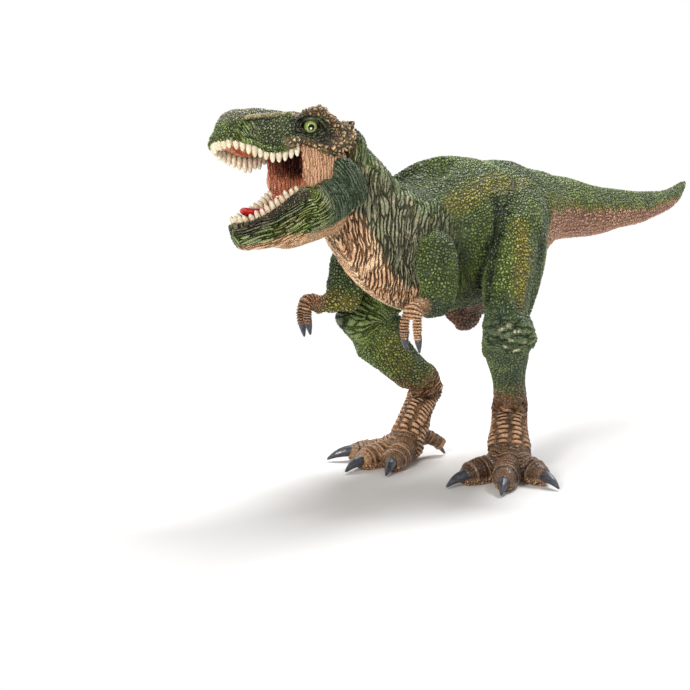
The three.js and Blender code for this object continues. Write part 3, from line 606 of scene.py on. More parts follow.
@dataclass
class Skin:
    """A closed surface of four-cornered faces, worked on as arrays in the modelling frame."""

    points: Array
    faces: Array
    normals: Array = field(init=False)
    unshrink: float = 1.04  # how much further each second step of the smoothing goes back

    def __post_init__(self) -> None:
        """Works out the first normals."""
        self.refresh()

    @classmethod
    def cast(cls, names: Sequence[str], voxel: float, puff: float, polish: int) -> Skin:
        """Casts one smooth skin over CAD nodes.

        Args:
            names: The nodes.
            voxel: The size of the faces, in mm.
            puff: How far the nodes are swollen first, so that they meet, in mm.
            polish: How many rounds of smoothing it gets.

        Returns:
            The skin, with faces of the voxel's size.
        """
        return cls.remeshed(merged_copy(names, puff), voxel, polish)

    @classmethod
    def remeshed(cls, mesh: Mesh, voxel: float, polish: int) -> Skin:
        """Casts one smooth skin over a mesh of closed bodies, which is used up."""
        mesh = modified(mesh, "REMESH", mode="VOXEL", voxel_size=voxel * MM)
        skin = cls(own_points(mesh), quads_of(mesh))
        bpy.data.meshes.remove(mesh)
        skin.keep_largest()
        skin.smooth(polish)
        return skin

    def refresh(self) -> None:
        """Works out the normals of the points again."""
        p = self.points[self.faces]
        across = np.cross(p[:, 2] - p[:, 0], p[:, -1] - p[:, 1])
        normals = np.zeros_like(self.points)
        for corner in range(self.faces.shape[1]):
            for axis in range(3):
                normals[:, axis] += np.bincount(self.faces[:, corner], across[:, axis], len(self.points))
        self.normals = normals / np.maximum(np.linalg.norm(normals, axis=1), 1e-12)[:, None]

    def edges(self) -> Array:
        """Lists each edge once."""
        return np.unique(np.sort(sides_of(self.faces), axis=1), axis=0)

    def keep_largest(self) -> None:
        """Drops every closed surface but the largest, such as a bubble inside the skin."""
        edges = self.edges()
        label = np.arange(len(self.points))
        while True:
            low = np.minimum(label[edges[:, 0]], label[edges[:, 1]])
            new = label.copy()
            np.minimum.at(new, edges[:, 0], low)
            np.minimum.at(new, edges[:, 1], low)
            new = new[new]
            if (new == label).all():
                break
            label = new
        kept = label == np.bincount(label).argmax()
        faces = self.faces[kept[self.faces[:, 0]]]
        number = np.cumsum(kept) - 1
        self.points, self.faces = self.points[kept], number[faces]
        self.refresh()

    def averaged(self, values: Array, rounds: int, edges: Array | None = None) -> Array:
        """Spreads values over the surface by averaging neighbours.

        Args:
            values: One row for each point.
            rounds: How many times.
            edges: The skin's edges, if they are at hand.

        Returns:
            The spread values.
        """
        edges = self.edges() if edges is None else edges
        a, b = edges[:, 0], edges[:, 1]
        count = np.maximum(np.bincount(edges.ravel(), minlength=len(self.points)), 1)
        values = values.reshape(len(self.points), -1).astype(float)
        for _ in range(rounds):
            spread = np.empty_like(values)
            for k in range(values.shape[1]):
                v = values[:, k]
                total = np.bincount(a, v[b], len(v)) + np.bincount(b, v[a], len(v))
                spread[:, k] = 0.5 * v + 0.5 * total / count
            values = spread
        return values

    def smooth(self, rounds: int) -> None:
        """Polishes the surface without shrinking it."""
        edges = self.edges()
        for _ in range(rounds):
            self.points += self.averaged(self.points, 1, edges) - self.points
            self.points -= self.unshrink * (self.averaged(self.points, 1, edges) - self.points)
        self.refresh()

    def finer(self, extra: dict[str, Array] | None = None) -> dict[str, Array]:
        """Halves the size of the faces.

        Args:
            extra: Values of the points to carry over.

        Returns:
            The values for the new points.
        """
        extra = extra or {}
        mesh = mesh_of(self.points, "finer", self.faces)
        for name, values in extra.items():
            layer = mesh.attributes.new(name, "FLOAT", "POINT")
            layer.data.foreach_set("value", values.astype(np.float32))
        mesh = modified(mesh, "SUBSURF", levels=1, render_levels=1)
        self.points, self.faces = own_points(mesh), quads_of(mesh)
        carried = {}
        for name in extra:
            values = np.empty(len(mesh.vertices), np.float32)
            mesh.attributes[name].data.foreach_get("value", values)
            carried[name] = values.astype(float)
        bpy.data.meshes.remove(mesh)
        self.refresh()
        return carried

    def push(self, amount: Array) -> None:
        """Moves the points along their normals by so many mm."""
        self.points += self.normals * amount[:, None]

    def grab(self, line: Line, radius: float, shift: Sequence[float]) -> None:
        """Moves the skin round a line or a place by so many mm, and less further away.

        Args:
            line: The line's corners, or one place, in mm.
            radius: Where the pull ends; it is whole up to half of that.
            shift: How far and which way.
        """
        distance, _ = polyline_distance(self.points, line)
        self.points += ramp(radius, 0.5 * radius, distance)[:, None] * np.asarray(shift, float)

    def stroke(
        self,
        line: Line,
        radius: float,
        height: float,
        places: Array | None = None,
    ) -> None:
        """Raises or sinks the skin along a line, as a modelling tool does.

        Args:
            line: The line's corners, in mm.
            radius: How far the stroke reaches.
            height: How far it raises the surface in its middle; negative sinks it.
            places: The points in the line's frame, if it isn't the modelling frame.
        """
        places = self.points if places is None else places
        corners = np.asarray(line, float)
        low, high = corners.min(0) - radius, corners.max(0) + radius
        near = np.flatnonzero(((places > low) & (places < high)).all(1))
        distance, _ = polyline_distance(places[near], corners)
        fall = np.clip(1 - (distance / radius) ** 2, 0, 1) ** 2
        self.points[near] += self.normals[near] * (height * fall)[:, None]


@dataclass
class Coat:
    """The colours and patterns of a skin's points, laid on in thin layers."""

    points: Array
    colour: Array = field(init=False)
    values: dict[str, Array] = field(init=False)

    def __post_init__(self) -> None:
        """Starts with plain green and no pattern."""
        count = len(self.points)
        self.colour = np.tile(Paint.LEAF.linear, (count, 1))
        self.values = {name: np.zeros(count) for name in ("Scale", "Fold", "Band", "Knob", "WashAndShade", "Shine")}
        # WashAndShade: how far the grooves are darkened, as real wash and as painted shade
        self.values["WashAndShade"] += 1
        self.values.update({name: np.zeros((count, 3)) for name in ("ScaleWay", "FoldWay", "BandWay")})

    def spray(self, paint: Paint, weight: Array, strength: float = 1) -> None:
        """Lays a paint on by so much at each point."""
        w = np.clip(weight * strength, 0, 1)[:, None]
        self.colour += (paint.linear - self.colour) * w

    def mist(
        self,
        paint: Paint,
        line: Line,
        radius: float,
        strength: float = 1,
        places: Array | None = None,
        patchy: float = 0.35,
    ) -> None:
        """Sprays a soft line or spot.

        Args:
            paint: The paint.
            line: The line's corners, or one place, in mm.
            radius: Where the spray ends.
            strength: Its cover in the middle.
            places: The points in the line's frame, if it isn't the modelling frame.
            patchy: How uneven its edge is.
        """
        places = self.points if places is None else places
        distance, _ = polyline_distance(places, line)
        uneven = 1 + patchy * ripple(places, max(radius, 2.5), 11)
        self.spray(paint, np.clip(1 - (distance / radius) ** 2, 0, 1) * uneven, strength)


def cap_holes(faces: Array, points: Array) -> tuple[Array, Array]:
    """Closes the open edges of a patch of faces with a fan to the middle of each hole.

    Args:
        faces: The patch's faces.
        points: Its points.

    Returns:
        The middles, and the three-cornered faces, which number the middles after the points.
    """
    count = len(points)
    ahead = sides_of(faces).astype(np.int64)
    codes, back = ahead[:, 0] * count + ahead[:, 1], ahead[:, 1] * count + ahead[:, 0]
    open_edges = ahead[~np.isin(codes, back)]
    following: dict[int, list[int]] = {}
    for a, b in open_edges.tolist():
        following.setdefault(a, []).append(b)
    middles, caps = [], []
    while following:
        start = next(iter(following))
        loop, here = [start], start
        while here in following:
            after = following[here].pop()
            if not following[here]:
                del following[here]
            here = after
            if here == start:
                break
            loop.append(here)
        if len(loop) < 3:
            continue
        centre = count + len(middles)
        middles.append(points[loop].mean(0))
        caps += [(loop[(k + 1) % len(loop)], loop[k], centre) for k in range(len(loop))]
    return np.array(middles).reshape(-1, 3), np.array(caps, np.int64).reshape(-1, 3)


def add_object(mesh: Mesh, name: str, body: Body, nodes: Sequence[str], slot: str) -> None:
    """Hangs a finished mesh on its body as a piece of the figure.

    Args:
        mesh: The mesh, in its place.
        name: The piece's name.
        body: What it moves with.
        nodes: The CAD nodes that it stands for.
        slot: Its material slot in the record; not used.
    """
    obj = bpy.data.objects.new(name, mesh)
    mesh.name = name
    bpy.context.scene.collection.objects.link(obj)
    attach(obj, body.value)
    if nodes:
        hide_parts(*nodes)
    log.info("%s: %d faces on %s", name, len(mesh.polygons), body.value)


def lay_coat(mesh: Mesh, coat: Coat, kept: Array, spare: int) -> None:
    """Writes a coat onto a mesh as attributes.

    Args:
        mesh: The mesh.
        coat: The coat of the whole skin.
        kept: Which of the skin's points the mesh has.
        spare: How many points follow them, for the caps.
    """
    rows = np.concatenate((kept, np.full(spare, kept[0])))
    colour = np.ones((len(rows), 4), np.float32)
    colour[:, :3] = coat.colour[rows]
    mesh.attributes.new("Paint", "FLOAT_COLOR", "POINT").data.foreach_set("color", colour.ravel())
    for name, values in coat.values.items():
        kind, key = ("FLOAT", "value") if values.ndim == 1 else ("FLOAT_VECTOR", "vector")
        layer = mesh.attributes.new(name, kind, "POINT")
        layer.data.foreach_set(key, values[rows].astype(np.float32).ravel())


def raise_relief(
    skin: Skin, coat: Coat, tree: GeometryNodeTree, material: Material
) -> None:
    """Raises the coat's pattern out of the skin with the relief tree."""
    mesh = mesh_of(skin.points, "relief", skin.faces)
    lay_coat(mesh, coat, np.arange(len(skin.points)), 0)
    inputs = {"Relief strength": 1.0, "Material": material}
    mesh = modified(mesh, "NODES", inputs, node_group=tree)
    skin.points = own_points(mesh)
    bpy.data.meshes.remove(mesh)
    skin.refresh()


def cut_piece(
    skin: Skin, coat: Coat, name: str, body: Body, node: str, slot: str, material: Material,
    chosen: Array | None = None,
) -> None:  # fmt: skip
    """Cuts faces out of a finished skin as a closed piece whose shading runs on across the cut.

    Args:
        skin: The whole skin.
        coat: Its coat.
        name: The piece's name.
        body: What it moves with.
        node: The CAD node that it stands for.
        slot: Its material slot in the record.
        material: Its material.
        chosen: Which faces the piece gets, if not all.
    """
    faces = skin.faces if chosen is None else skin.faces[chosen]
    kept, faces = np.unique(faces, return_inverse=True)
    faces = faces.reshape(-1, skin.faces.shape[1])
    middles, caps = cap_holes(faces, skin.points[kept])
    mesh = mesh_of(np.vstack((skin.points[kept], middles)), name, faces, caps)
    lay_coat(mesh, coat, kept, len(middles))
    normals = np.vstack((skin.normals[kept], np.tile((0.0, 0.0, 1.0), (len(middles), 1))))
    mesh.normals_split_custom_set_from_vertices(normals.tolist())
    mesh.materials.append(material)
    add_object(mesh, name, body, (node,), slot)


@dataclass(frozen=True)
class HandPaint:
    """Hand-painted vinyl: a base coat, a dark wash in the relief that is also painted shade, and a light
    brush over its crests that is also a painted highlight, flecked with specks of painted sheen.
    """

    name: str
    # How dark and how strong the wash is: real wash and painted shade in the grooves
    wash_and_shade_depth: float = 0.92
    wash_and_shade_value: float = 0.09
    # How strong and how light the crest brush is: real dry-brush and a painted highlight on the crests
    crest_light: float = 0.85
    crest_value: float = 2.2
    # How strongly pale specks of painted sheen fleck the crests
    painted_sheen: float = 0.25
    roughness: float = 0.36
    bump: float = 1.0

    def build(self, relief: HideRelief) -> Material:
        """Builds the material.

        Args:
            relief: The pattern that the wash and the brush follow.

        Returns:
            The material.
        """
        material = bpy.data.materials.new(self.name)
        graph = Graph.of(material)
        place, pattern = graph.place(), relief.build(graph)
        paint = graph.node("ShaderNodeAttribute", attribute_name="Paint").outputs["Color"]
        grain = graph.noise(place, 2600, 3)
        uneven = graph.remap(graph.noise(place, 260, 3), 0.3, 0.6, 0.55, 1)
        # Darker paint in the grooves: partly the figure's real dark wash, partly painted shade
        wash = graph.times(graph.times(pattern["groove"], graph.named("WashAndShade")), uneven)
        wash = graph.times(wash, self.wash_and_shade_depth, clamp=True)
        cells = {"Vector": graph.named("ScaleWay", vector=True), "Scale": 1.0, "Randomness": 0.85}
        mottle = graph.remap(graph.node("ShaderNodeTexVoronoi", cells).outputs["Color"], 0.1, 0.9, 0.72, 1.25)
        tone = graph.times(graph.remap(grain, 0.25, 0.75, 0.55, 1.4), mottle)
        # Pale specks mixed into the crest colour: painted sheen
        painted_sheen = graph.remap(graph.noise(place, 900, 2), 0.5, 0.66, 0, self.painted_sheen)
        light = graph.mix(painted_sheen, graph.shaded(paint, self.crest_value, 0.85), Paint.BONE_DOT.linear.tolist())
        # Lighter paint on the crests: partly the figure's real dry-brush, partly a painted highlight
        brush = graph.times(pattern["crest"], self.crest_light)
        brush = graph.times(brush, graph.remap(grain, 0.35, 0.65, 0.3, 1))
        colour = graph.mix(brush, graph.shaded(paint, tone), light)
        colour = graph.mix(wash, colour, graph.shaded(paint, self.wash_and_shade_value, 0.9))
        height = graph.math("ADD", pattern["height"], graph.times(grain, 0.05))
        bump = graph.node("ShaderNodeBump", {"Height": height, "Distance": MM, "Strength": self.bump})
        worn = graph.remap(grain, 0.3, 0.7, self.roughness - 0.08, self.roughness + 0.1)
        rough = graph.math("ADD", worn, graph.times(graph.named("Shine"), -0.3))
        inputs = {"Base Color": colour, "Roughness": rough, "Normal": bump.outputs[0]}
        graph.end_material({**inputs, "Specular IOR Level": 0.5})
        return material


BODY_LINE = Path(  # from the tail's tip to the head
    (
        (-16.4, 144, 89.2), (-15.2, 137, 86.9), (-12.3, 123, 84), (-7.6, 100.8, 82.8), (-3.5, 76.2, 84),
        (-1.2, 50.4, 85.7), (0, 27, 88.8), (0, 13.5, 88.5), (0, 0, 86.5), (0, -14.8, 84.7), (0, -33.2, 85.7),
        (0, -49.2, 86), (0, -62.1, 87), (-1, -73.8, 92.5), (-1.8, -84.3, 103.8), (-2.7, -96, 113.7),
    ),
    front=(0, 0, 1),
    samples=260,
)  # fmt: skip


def round_body(points: Array) -> tuple[Array, Array]:
    """Finds how far from the tail's tip points are, in mm, and how far round from the top, in degrees."""
    s, ahead, aside = BODY_LINE.locate(points)
    return s, np.degrees(np.arctan2(np.abs(aside), ahead))


@dataclass(frozen=True)
class Limb:
    """The joints of a leg and its foot's toes, in mm; the turns are in degrees from straight ahead."""

    name: str
    hip: tuple[float, float, float]
    knee: tuple[float, float, float]
    hock: tuple[float, float, float]
    ankle: tuple[float, float, float]
    toe_turns: tuple[float, float, float]
    toe_lengths: tuple[float, float, float]
    rear_turn: float
    rear_lengths: tuple[float, float] = (6, 11)
    knuckle_height: float = 6.2
    tip_height: float = 4

    @property
    def side(self) -> int:
        """1 on the figure's left and -1 on its right."""
        return SIDES[self.name]

    def way(self, turn: float) -> Array:
        """The level direction so many degrees outwards from straight ahead."""
        return np.array((self.side * math.sin(math.radians(turn)), -math.cos(math.radians(turn)), 0))

    def toe_lines(self) -> list[list[Array]]:
        """The middle lines of the four toes, from the ankle to the tip."""
        lines = []
        ankle = np.array(self.ankle)
        floor = ankle * (1, 1, 0)
        for turn, length in zip(self.toe_turns, self.toe_lengths):
            knuckle = floor + self.way(turn) * 0.5 * length + (0, 0, self.knuckle_height)
            tip = floor + self.way(turn) * length + (0, 0, self.tip_height)
            lines.append([ankle + (0, 0, 1), knuckle, tip])
        root = ankle + 0.2 * (np.array(self.hock) - ankle)
        way = self.way(self.rear_turn) - (0, 0, 0.7)
        lines.append([root, *(root + way * length for length in self.rear_lengths)])
        return lines


LIMBS = (
    Limb(
        "left", hip=(15.5, -13, 93.5), knee=(39.6, -50.1, 56.1), hock=(17.3, -17, 26), ankle=(23.3, -26, 8),
        toe_turns=(-9, 31, 74), toe_lengths=(20.7, 23, 16.5), rear_turn=-129,
    ),
    Limb(
        "right", hip=(-15.5, -13, 93.5), knee=(-26.2, -55.9, 56.1), hock=(-22.1, -16.2, 26),
        ankle=(-23.2, -27, 8), toe_turns=(-25, 2, 42), toe_lengths=(21.6, 23.5, 18.8), rear_turn=-158,
    ),
)  # fmt: skip
ARM_FRONT = (0.3, -1, 0)
ARM_LINES = {
    "left": ((21.1, -67, 87.6), (22.4, -67, 68.4), (24.3, -82.8, 67), (24.6, -84, 54)),
    "right": ((-18, -66, 81.9), (-19.3, -66.8, 60.8), (-23.4, -83, 65), (-24, -84.9, 52.4)),
}
BARE_EDGE = (  # how far from the tail's tip, in mm, and how far round the bare skin starts, in degrees
    (0, 180), (12, 140), (28, 104), (43, 96), (60, 94), (80, 88), (98, 82), (129, 84), (146, 80), (165, 150),
    (175, 166), (190, 160), (200, 137), (212, 138), (227, 134), (253, 130),
)  # fmt: skip
SNOUT_RIDGE = ((7.4, -33, 15.2), (8, -27.6, 15.9), (7.8, -22.4, 16.3), (7.7, -16.5, 16.5), (8.5, -14, 16.9))
UPPER_ROW = (  # the teeth's roots on the left, in the head's frame
    (10.88, -16.4, 5.13), (10.19, -19.82, 3.72), (9.47, -23.46, 3.08), (8.99, -27.15, 3.43),
    (8.8, -30.68, 4.73), (8.29, -34.11, 6.2), (6.8, -37.33, 7.3), (5.47, -38.65, 7.44),
    (3.75, -39.38, 7.55), (0, -39.63, 7.59),
)  # fmt: skip
LOWER_ROW = (  # the teeth's roots on the left, in the jaw's frame
    (8.5, -17.84, -1.38), (7.81, -20.86, -1.6), (7.21, -23.9, -1.87), (6.81, -26.96, -2.25),
    (6.41, -30.03, -2.55), (6.01, -33.11, -2.6), (5.05, -36.05, -2.45), (4.27, -37.39, -2.29),
    (3.06, -38.33, -2.16), (0, -38.72, -2.01),
)  # fmt: skip
CLAW_SHIFTS = {  # how far the finger claws are moved, in mm
    "left_finger_claw_1": (-0.4, -0.3, 0.8),
    "left_finger_claw_2": (-1.2, -1, 1.3),
    "right_finger_claw_1": (-1.3, -1.1, 2.2),
    "right_finger_claw_2": (-1.1, -0.9, 1),
}
TOES = ("inner", "middle", "outer", "rear")


def coarser(voxel: float) -> float:
    return voxel * 1


class Moulded:
    """What the moulded hides share: pattern fields and brush strokes."""

    skin: Skin
    coat: Coat
    wrist: float = 15

    def round_arm(self, side: str) -> tuple[Array, Array, Array, float]:
        """Places the skin's points along and round an arm.

        Args:
            side: Which arm.

        Returns:
            How far along each is, its offsets to the front and the side, and where the hand starts.
        """
        path = Path(ARM_LINES[side], ARM_FRONT)
        return *path.locate(self.skin.points), float(path.reach[-1]) - self.wrist

    def dress_hand(self, side: str, share: Array) -> None:
        """Lays the bands of a hand and paints it, from just above the wrist on.

        Args:
            side: Which hand.
            share: How far each point belongs to the arm.
        """
        points, coat = self.skin.points, self.coat
        along, ahead, _, wrist = self.round_arm(side)
        hand = share * ramp(wrist - 5.5, wrist - 0.5, along)
        self.lay("Band", 0.75 * hand, columns(along / 0.95, ahead / 9, 0 * along))
        coat.spray(Paint.TAN if side == "left" else Paint.BROWN, hand)
        coat.spray(Paint.BROWN, hand * blotches(points, 5, 49, -0.4, 0.6), 0.75)
        coat.spray(Paint.PALE_TAN, hand * blotches(points, 4, 50, 0.1, 0.8), 0.2)
        coat.values["WashAndShade"] -= 0.05 * hand

    def lay(self, name: str, weight: Array, way: Array) -> None:
        """Lays a directed pattern where it is stronger than what is there.

        Args:
            name: The pattern.
            weight: How strong it is at each point.
            way: Its cell coordinates.
        """
        stronger = weight > self.coat.values[name]
        self.coat.values[name][stronger] = weight[stronger]
        self.coat.values[name + "Way"][stronger] = way[stronger]
        self.coat.values["Scale"] *= 1 - 0.75 * np.clip(weight, 0, 1)

    def scales(self, size: Array) -> None:
        """Lays round scales of the given sizes, in mm, over the whole skin."""
        self.coat.values["Scale"][:] = 1
        warp = 0.35 * ripples(self.skin.points, 9, (21, 22, 23))
        self.coat.values["ScaleWay"][:] = self.skin.points / size[:, None] + warp


@dataclass
class FigureHide(Moulded):
    """The hide of the torso, tail, legs, feet, arms and skull: one skin, cut into its pieces at the end."""

    voxel: float = 0.76
    puff: float = 0.2
    polish: int = 14
    head_scale: float = 0.95
    body_scale: float = 1.15
    fold_pitch: float = 1.3
    neck_start: float = -50
    seed: int = 5
    nodes: tuple[str, ...] = (
        "torso", "tail", "left_leg", "right_leg", "left_foot", "right_foot", "left_arm", "right_arm", "skull",
    )  # fmt: skip
    marks: dict[str, Array] = field(init=False)

    def label(self) -> dict[str, Array]:
        """Finds how far each point of the skin belongs to each node."""
        rng = np.random.default_rng(self.seed)
        tree_points, owners = [], []
        for number, name in enumerate(self.nodes):
            mesh = frame["nodes"][name].data
            mesh.calc_loop_triangles()
            corners = np.empty(len(mesh.loop_triangles) * 3, np.int32)
            mesh.loop_triangles.foreach_get("vertices", corners)
            p = own_points(mesh)[corners.reshape(-1, 3)]
            area = np.linalg.norm(np.cross(p[:, 1] - p[:, 0], p[:, 2] - p[:, 0]), axis=1) / 2
            chosen = rng.choice(len(p), int(area.sum() / 0.6), p=area / area.sum())
            u, v = rng.random((2, len(chosen), 1))
            fold = u + v > 1
            u, v = np.where(fold, 1 - u, u), np.where(fold, 1 - v, v)
            p = p[chosen]
            tree_points.append(p[:, 0] + u * (p[:, 1] - p[:, 0]) + v * (p[:, 2] - p[:, 0]))
            owners.append(np.full(len(chosen), number))
        places, owners = np.vstack(tree_points), np.concatenate(owners)
        tree = kdtree.KDTree(len(places))
        for k, place in enumerate(places.tolist()):
            tree.insert(place, k)
        tree.balance()
        nearest = np.array([tree.find(p)[1] for p in self.skin.points.tolist()])
        share = np.eye(len(self.nodes))[owners[nearest]]
        share = self.skin.averaged(share, 7)
        return {name: share[:, k] for k, name in enumerate(self.nodes)}

    def seam(self, first: str, second: str) -> Array:
        """A line from 0 to 1 where one node's skin meets another's."""
        return np.clip(4 * self.marks[first] * self.marks[second], 0, 1)

    def sculpt(self) -> None:
        """Cuts the creases between the limbs and models the muscles, wrinkles, knees, toes and face."""
        skin = self.skin
        sink = np.zeros(len(skin.points))
        for side in SIDES:
            sink -= 0.9 * self.seam(f"{side}_leg", "torso") + 0.4 * self.seam(f"{side}_arm", "torso")
            sink -= 0.2 * self.seam(f"{side}_foot", f"{side}_leg")
        sink -= 0.3 * self.seam("skull", "torso")
        s, angle = round_body(skin.points)
        nape = ramp(216, 230, s) * ramp(252, 244, s) * ramp(100, 30, angle)
        skin.push(sink + 2.6 * self.marks["torso"] * nape)
        tail = self.marks["tail"]
        trunk = tail + self.marks["torso"]
        skin.points[:, 2] += 0.9 * trunk * np.exp(-(((s - 106) / 16) ** 2))
        skin.points[:, 2] -= 2.2 * tail * ramp(45, 5, s)
        skin.push(1.1 * tail * ramp(90, 140, angle) * ramp(-2, 12, s) * ramp(75, 45, s))
        skin.push(1.2 * self.marks["left_foot"] * np.exp(-(((skin.points[:, 2] - 11) / 4) ** 2)))
        for line, radius, shift in (
            (((9, -84, 114.5), (9.4, -77, 110)), 11, (-1, -0.8, -0.6)),
            (((-10.8, -54, 105), (-5.5, -51, 108), (-1, -46, 110)), 13, (0, 0.8, -3.6)),
            (((2, -60, 111), (0, -52, 112.5), (0, -44, 114)), 10, (0, 0, -2.6)),
            (((5, -93, 123),), 9, (1.0, 0.9, 3.1)),
            (((11.5, -6.4, 106.5), (12, 1, 104.6), (6, 12, 102)), 11, (0, 0, -1.2)),
            (((37.4, -29.3, 83), (40, -35.4, 77), (43, -40, 68)), 14, (-1.9, -1.6, 0)),
            (((33.5, -14, 86), (38, -22, 76), (42, -34, 66)), 11, (-0.9, -0.75, 0)),
            (((46, -46, 57),), 9, (1.4, 1.1, 0)),
            (((34, -55, 57), (33, -54, 50)), 8, (-1, -0.8, 0)),
            (((35, -43, 45), (18, -18, 26), (22, -24, 16)), 15, (-0.8, -0.65, 0)),
            (((22.4, -67, 65.6), (24.8, -83.1, 64.6)), 14, (0, 0, 2.8)),
            (((-19.1, -66.6, 60), (-22.5, -82.2, 63.7)), 13, (-0.9, -0.8, 1.4)),
            (((2, -22, 57),), 11, (0.6, 3.4, -2.4)),
            (((-2, -32, 54.5),), 7, (1.8, 1.5, 1)),
            (((0, -15, 53),), 6, (-1.5, -1.3, 0.8)),
            (((4, -36, 55),), 8, (0, 0, 2.4)),
            (((-19, -66, 54),), 9, (0, 0.6, 2.4)),
            (((-20, -73, 58.5), (-25, -66, 57.5)), 7, (0, 0.3, 2.4)),
            (((-28, -61, 54), (-27, -57, 47)), 10, (1.9, 1.6, 0)),
            (((-18, -46, 60), (-20, -42, 52)), 10, (2.8, 2.4, 0)),
            (((-22.2, -48.8, 42.8), (-23, -40.5, 36.8), (-23.2, -31.6, 30.7)), 9, (-0.8, -0.7, -1.5)),
            (((-16.3, -19, 23), (-16.3, -19, 19)), 8, (-0.8, -0.7, 0)),
            (((-29, -37, 8), (-33, -42, 6.5)), 6, (0, 0, -1.1)),
            (from_head(((11, -1.5, 16.5), (11, 1.5, 15))), 6, -2.2 * HEAD_AXES[2]),
            (from_head(((-11, -1.5, 16.5), (-11, 1.5, 15))), 6, -2.2 * HEAD_AXES[2]),
            (from_head(((-9.5, -22, 3.6), (-9.5, -30, 5), (-8, -36, 7))), 6, -1.2 * HEAD_AXES[2]),
            (from_head(((-4, -43, 10), (4, -43, 10))), 7, 0.55 * HEAD_AXES[1]),
            (from_head(((-6, -37, 17), (2, -38, 17))), 7, 0.9 * HEAD_AXES[2]),
        ):
            skin.grab(line, radius, shift)
        for limb in LIMBS:
            for toe in TOES:
                claw = own_points(frame["nodes"][f"{limb.name}_{toe}_toe_claw"].data)
                way = claw.mean(0) - limb.ankle
                way /= np.linalg.norm(way)
                reach = claw @ way
                root = claw[reach < reach.min() + 0.25 * np.ptp(reach)].mean(0)
                skin.grab((root,), 6, 3.2 * way)
        for side in ARM_LINES:
            along, ahead, aside, wrist = self.round_arm(side)
            near_wrist = self.marks[f"{side}_arm"] * ramp(wrist - 8, wrist - 1, along)
            skin.push(-near_wrist * np.clip(np.hypot(ahead, aside) - 2.7, 0, 2))
        skin.refresh()
        thigh_crease = (
            (23.2, -35.7, 100), (25.7, -38.9, 93.5), (26.4, -40.3, 86.7), (28.4, -44.5, 79.7),
            (30.8, -50.4, 67.3),
        )  # fmt: skip
        body_strokes = (
            (thigh_crease, 2.4, -1.2),
            (((40.8, -56.7, 60), (45.3, -54.2, 60.5), (46, -46, 60)), 1.3, -0.9),
            (((39, -56.8, 50.8), (44.1, -52.4, 50.4), (45.5, -44, 51)), 1.2, -0.5),
            (((44.5, -54.5, 55.5),), 5, 0.7),
            (((-29.5, -60.5, 55),), 5, 0.7),
            (((11.6, -80.5, 110.1), (14.7, -78.9, 103.4), (17.6, -71.7, 96.1)), 1.8, -0.8),
            (((10.9, -93, 112.9), (10.8, -89.1, 104.1), (12.2, -83.9, 96.9)), 1.5, -0.7),
        )
        for line, radius, height in body_strokes:
            skin.stroke(line, radius, height)
        for limb in LIMBS:
            shin, ankle = np.array(limb.hock), np.array(limb.ankle)
            for shift in (-3.2, 3.2):
                skin.stroke((shin + (shift, -4, 3), ankle + (shift * 1.2, -4, 4)), 1.3, -0.45)
            for line in limb.toe_lines():
                for share in (0.42, 0.72):
                    _, middle, end = line
                    place = middle + (end - middle) * share
                    skin.stroke([place + (0, 0, 1.5)], 2.6, 0.4)
        head, skull = to_head(skin.points), self.marks["skull"]
        outer = skull * ramp(0.15, 0.5, np.abs(skin.normals @ HEAD_AXES[0]))
        flat = np.where((outer > 0.1)[:, None], head * FLAT, OUT_OF_REACH)
        both = np.where((skull > 0.5)[:, None], mirrored(head), OUT_OF_REACH)
        for line, radius, height, places in (
            (((0, -33, 12.5), (0, -23, 12)), 5.5, -0.7, flat),
            (((0, -11.1, 12.1),), 5.5, -1.0, flat),
            (((0, -17, 15.5), (0, -12.5, 17.3), (0, -6.5, 17.3), (0, -3, 15.5)), 2, 0.7, flat),
            (((11, -4, 19),), 2.4, 0.4, both),
            (((11.5, -2.2, 16.8), (11.5, 1, 15)), 3, -0.8, both),
            (((11, 4, 13.5),), 2.4, 0.9, both),
            (((8.5, -15.5, 17.4),), 2.6, -0.7, both),
            (((0, -21, 5.8), (0, -15.5, 8), (0, -8, 7), (0, -1, 5)), 2.2, 0.8, flat),
            (((0, -42, 9.4), (0, -33, 7.9), (0, -27, 5.7), (0, -22, 5.4)), 0.8, -0.25, flat),
            (((0, -42, 8.3), (0, -33, 6.8), (0, -27, 4.5), (0, -22, 4.3)), 0.8, 0.4, flat),
            (SNOUT_RIDGE, 1.1, 0.75, both),
            (np.array(SNOUT_RIDGE) - (-0.5, 0, 1.7), 1.3, -0.5, both),
            (((0, -42, 15), (0, -43.5, 9)), 7, -0.6, both),
            (((0, -33, 18.5), (0, -24, 18)), 7, -0.6, both),
            (((6.4, -41.2, 12.6),), 1.5, -1.3, both),
            (((6.4, -42.4, 12.2), (7.6, -41, 13.4), (6.4, -40, 14.2)), 0.9, 0.4, both),
        ):
            skin.stroke(line, radius, height, places)
        skin.refresh()

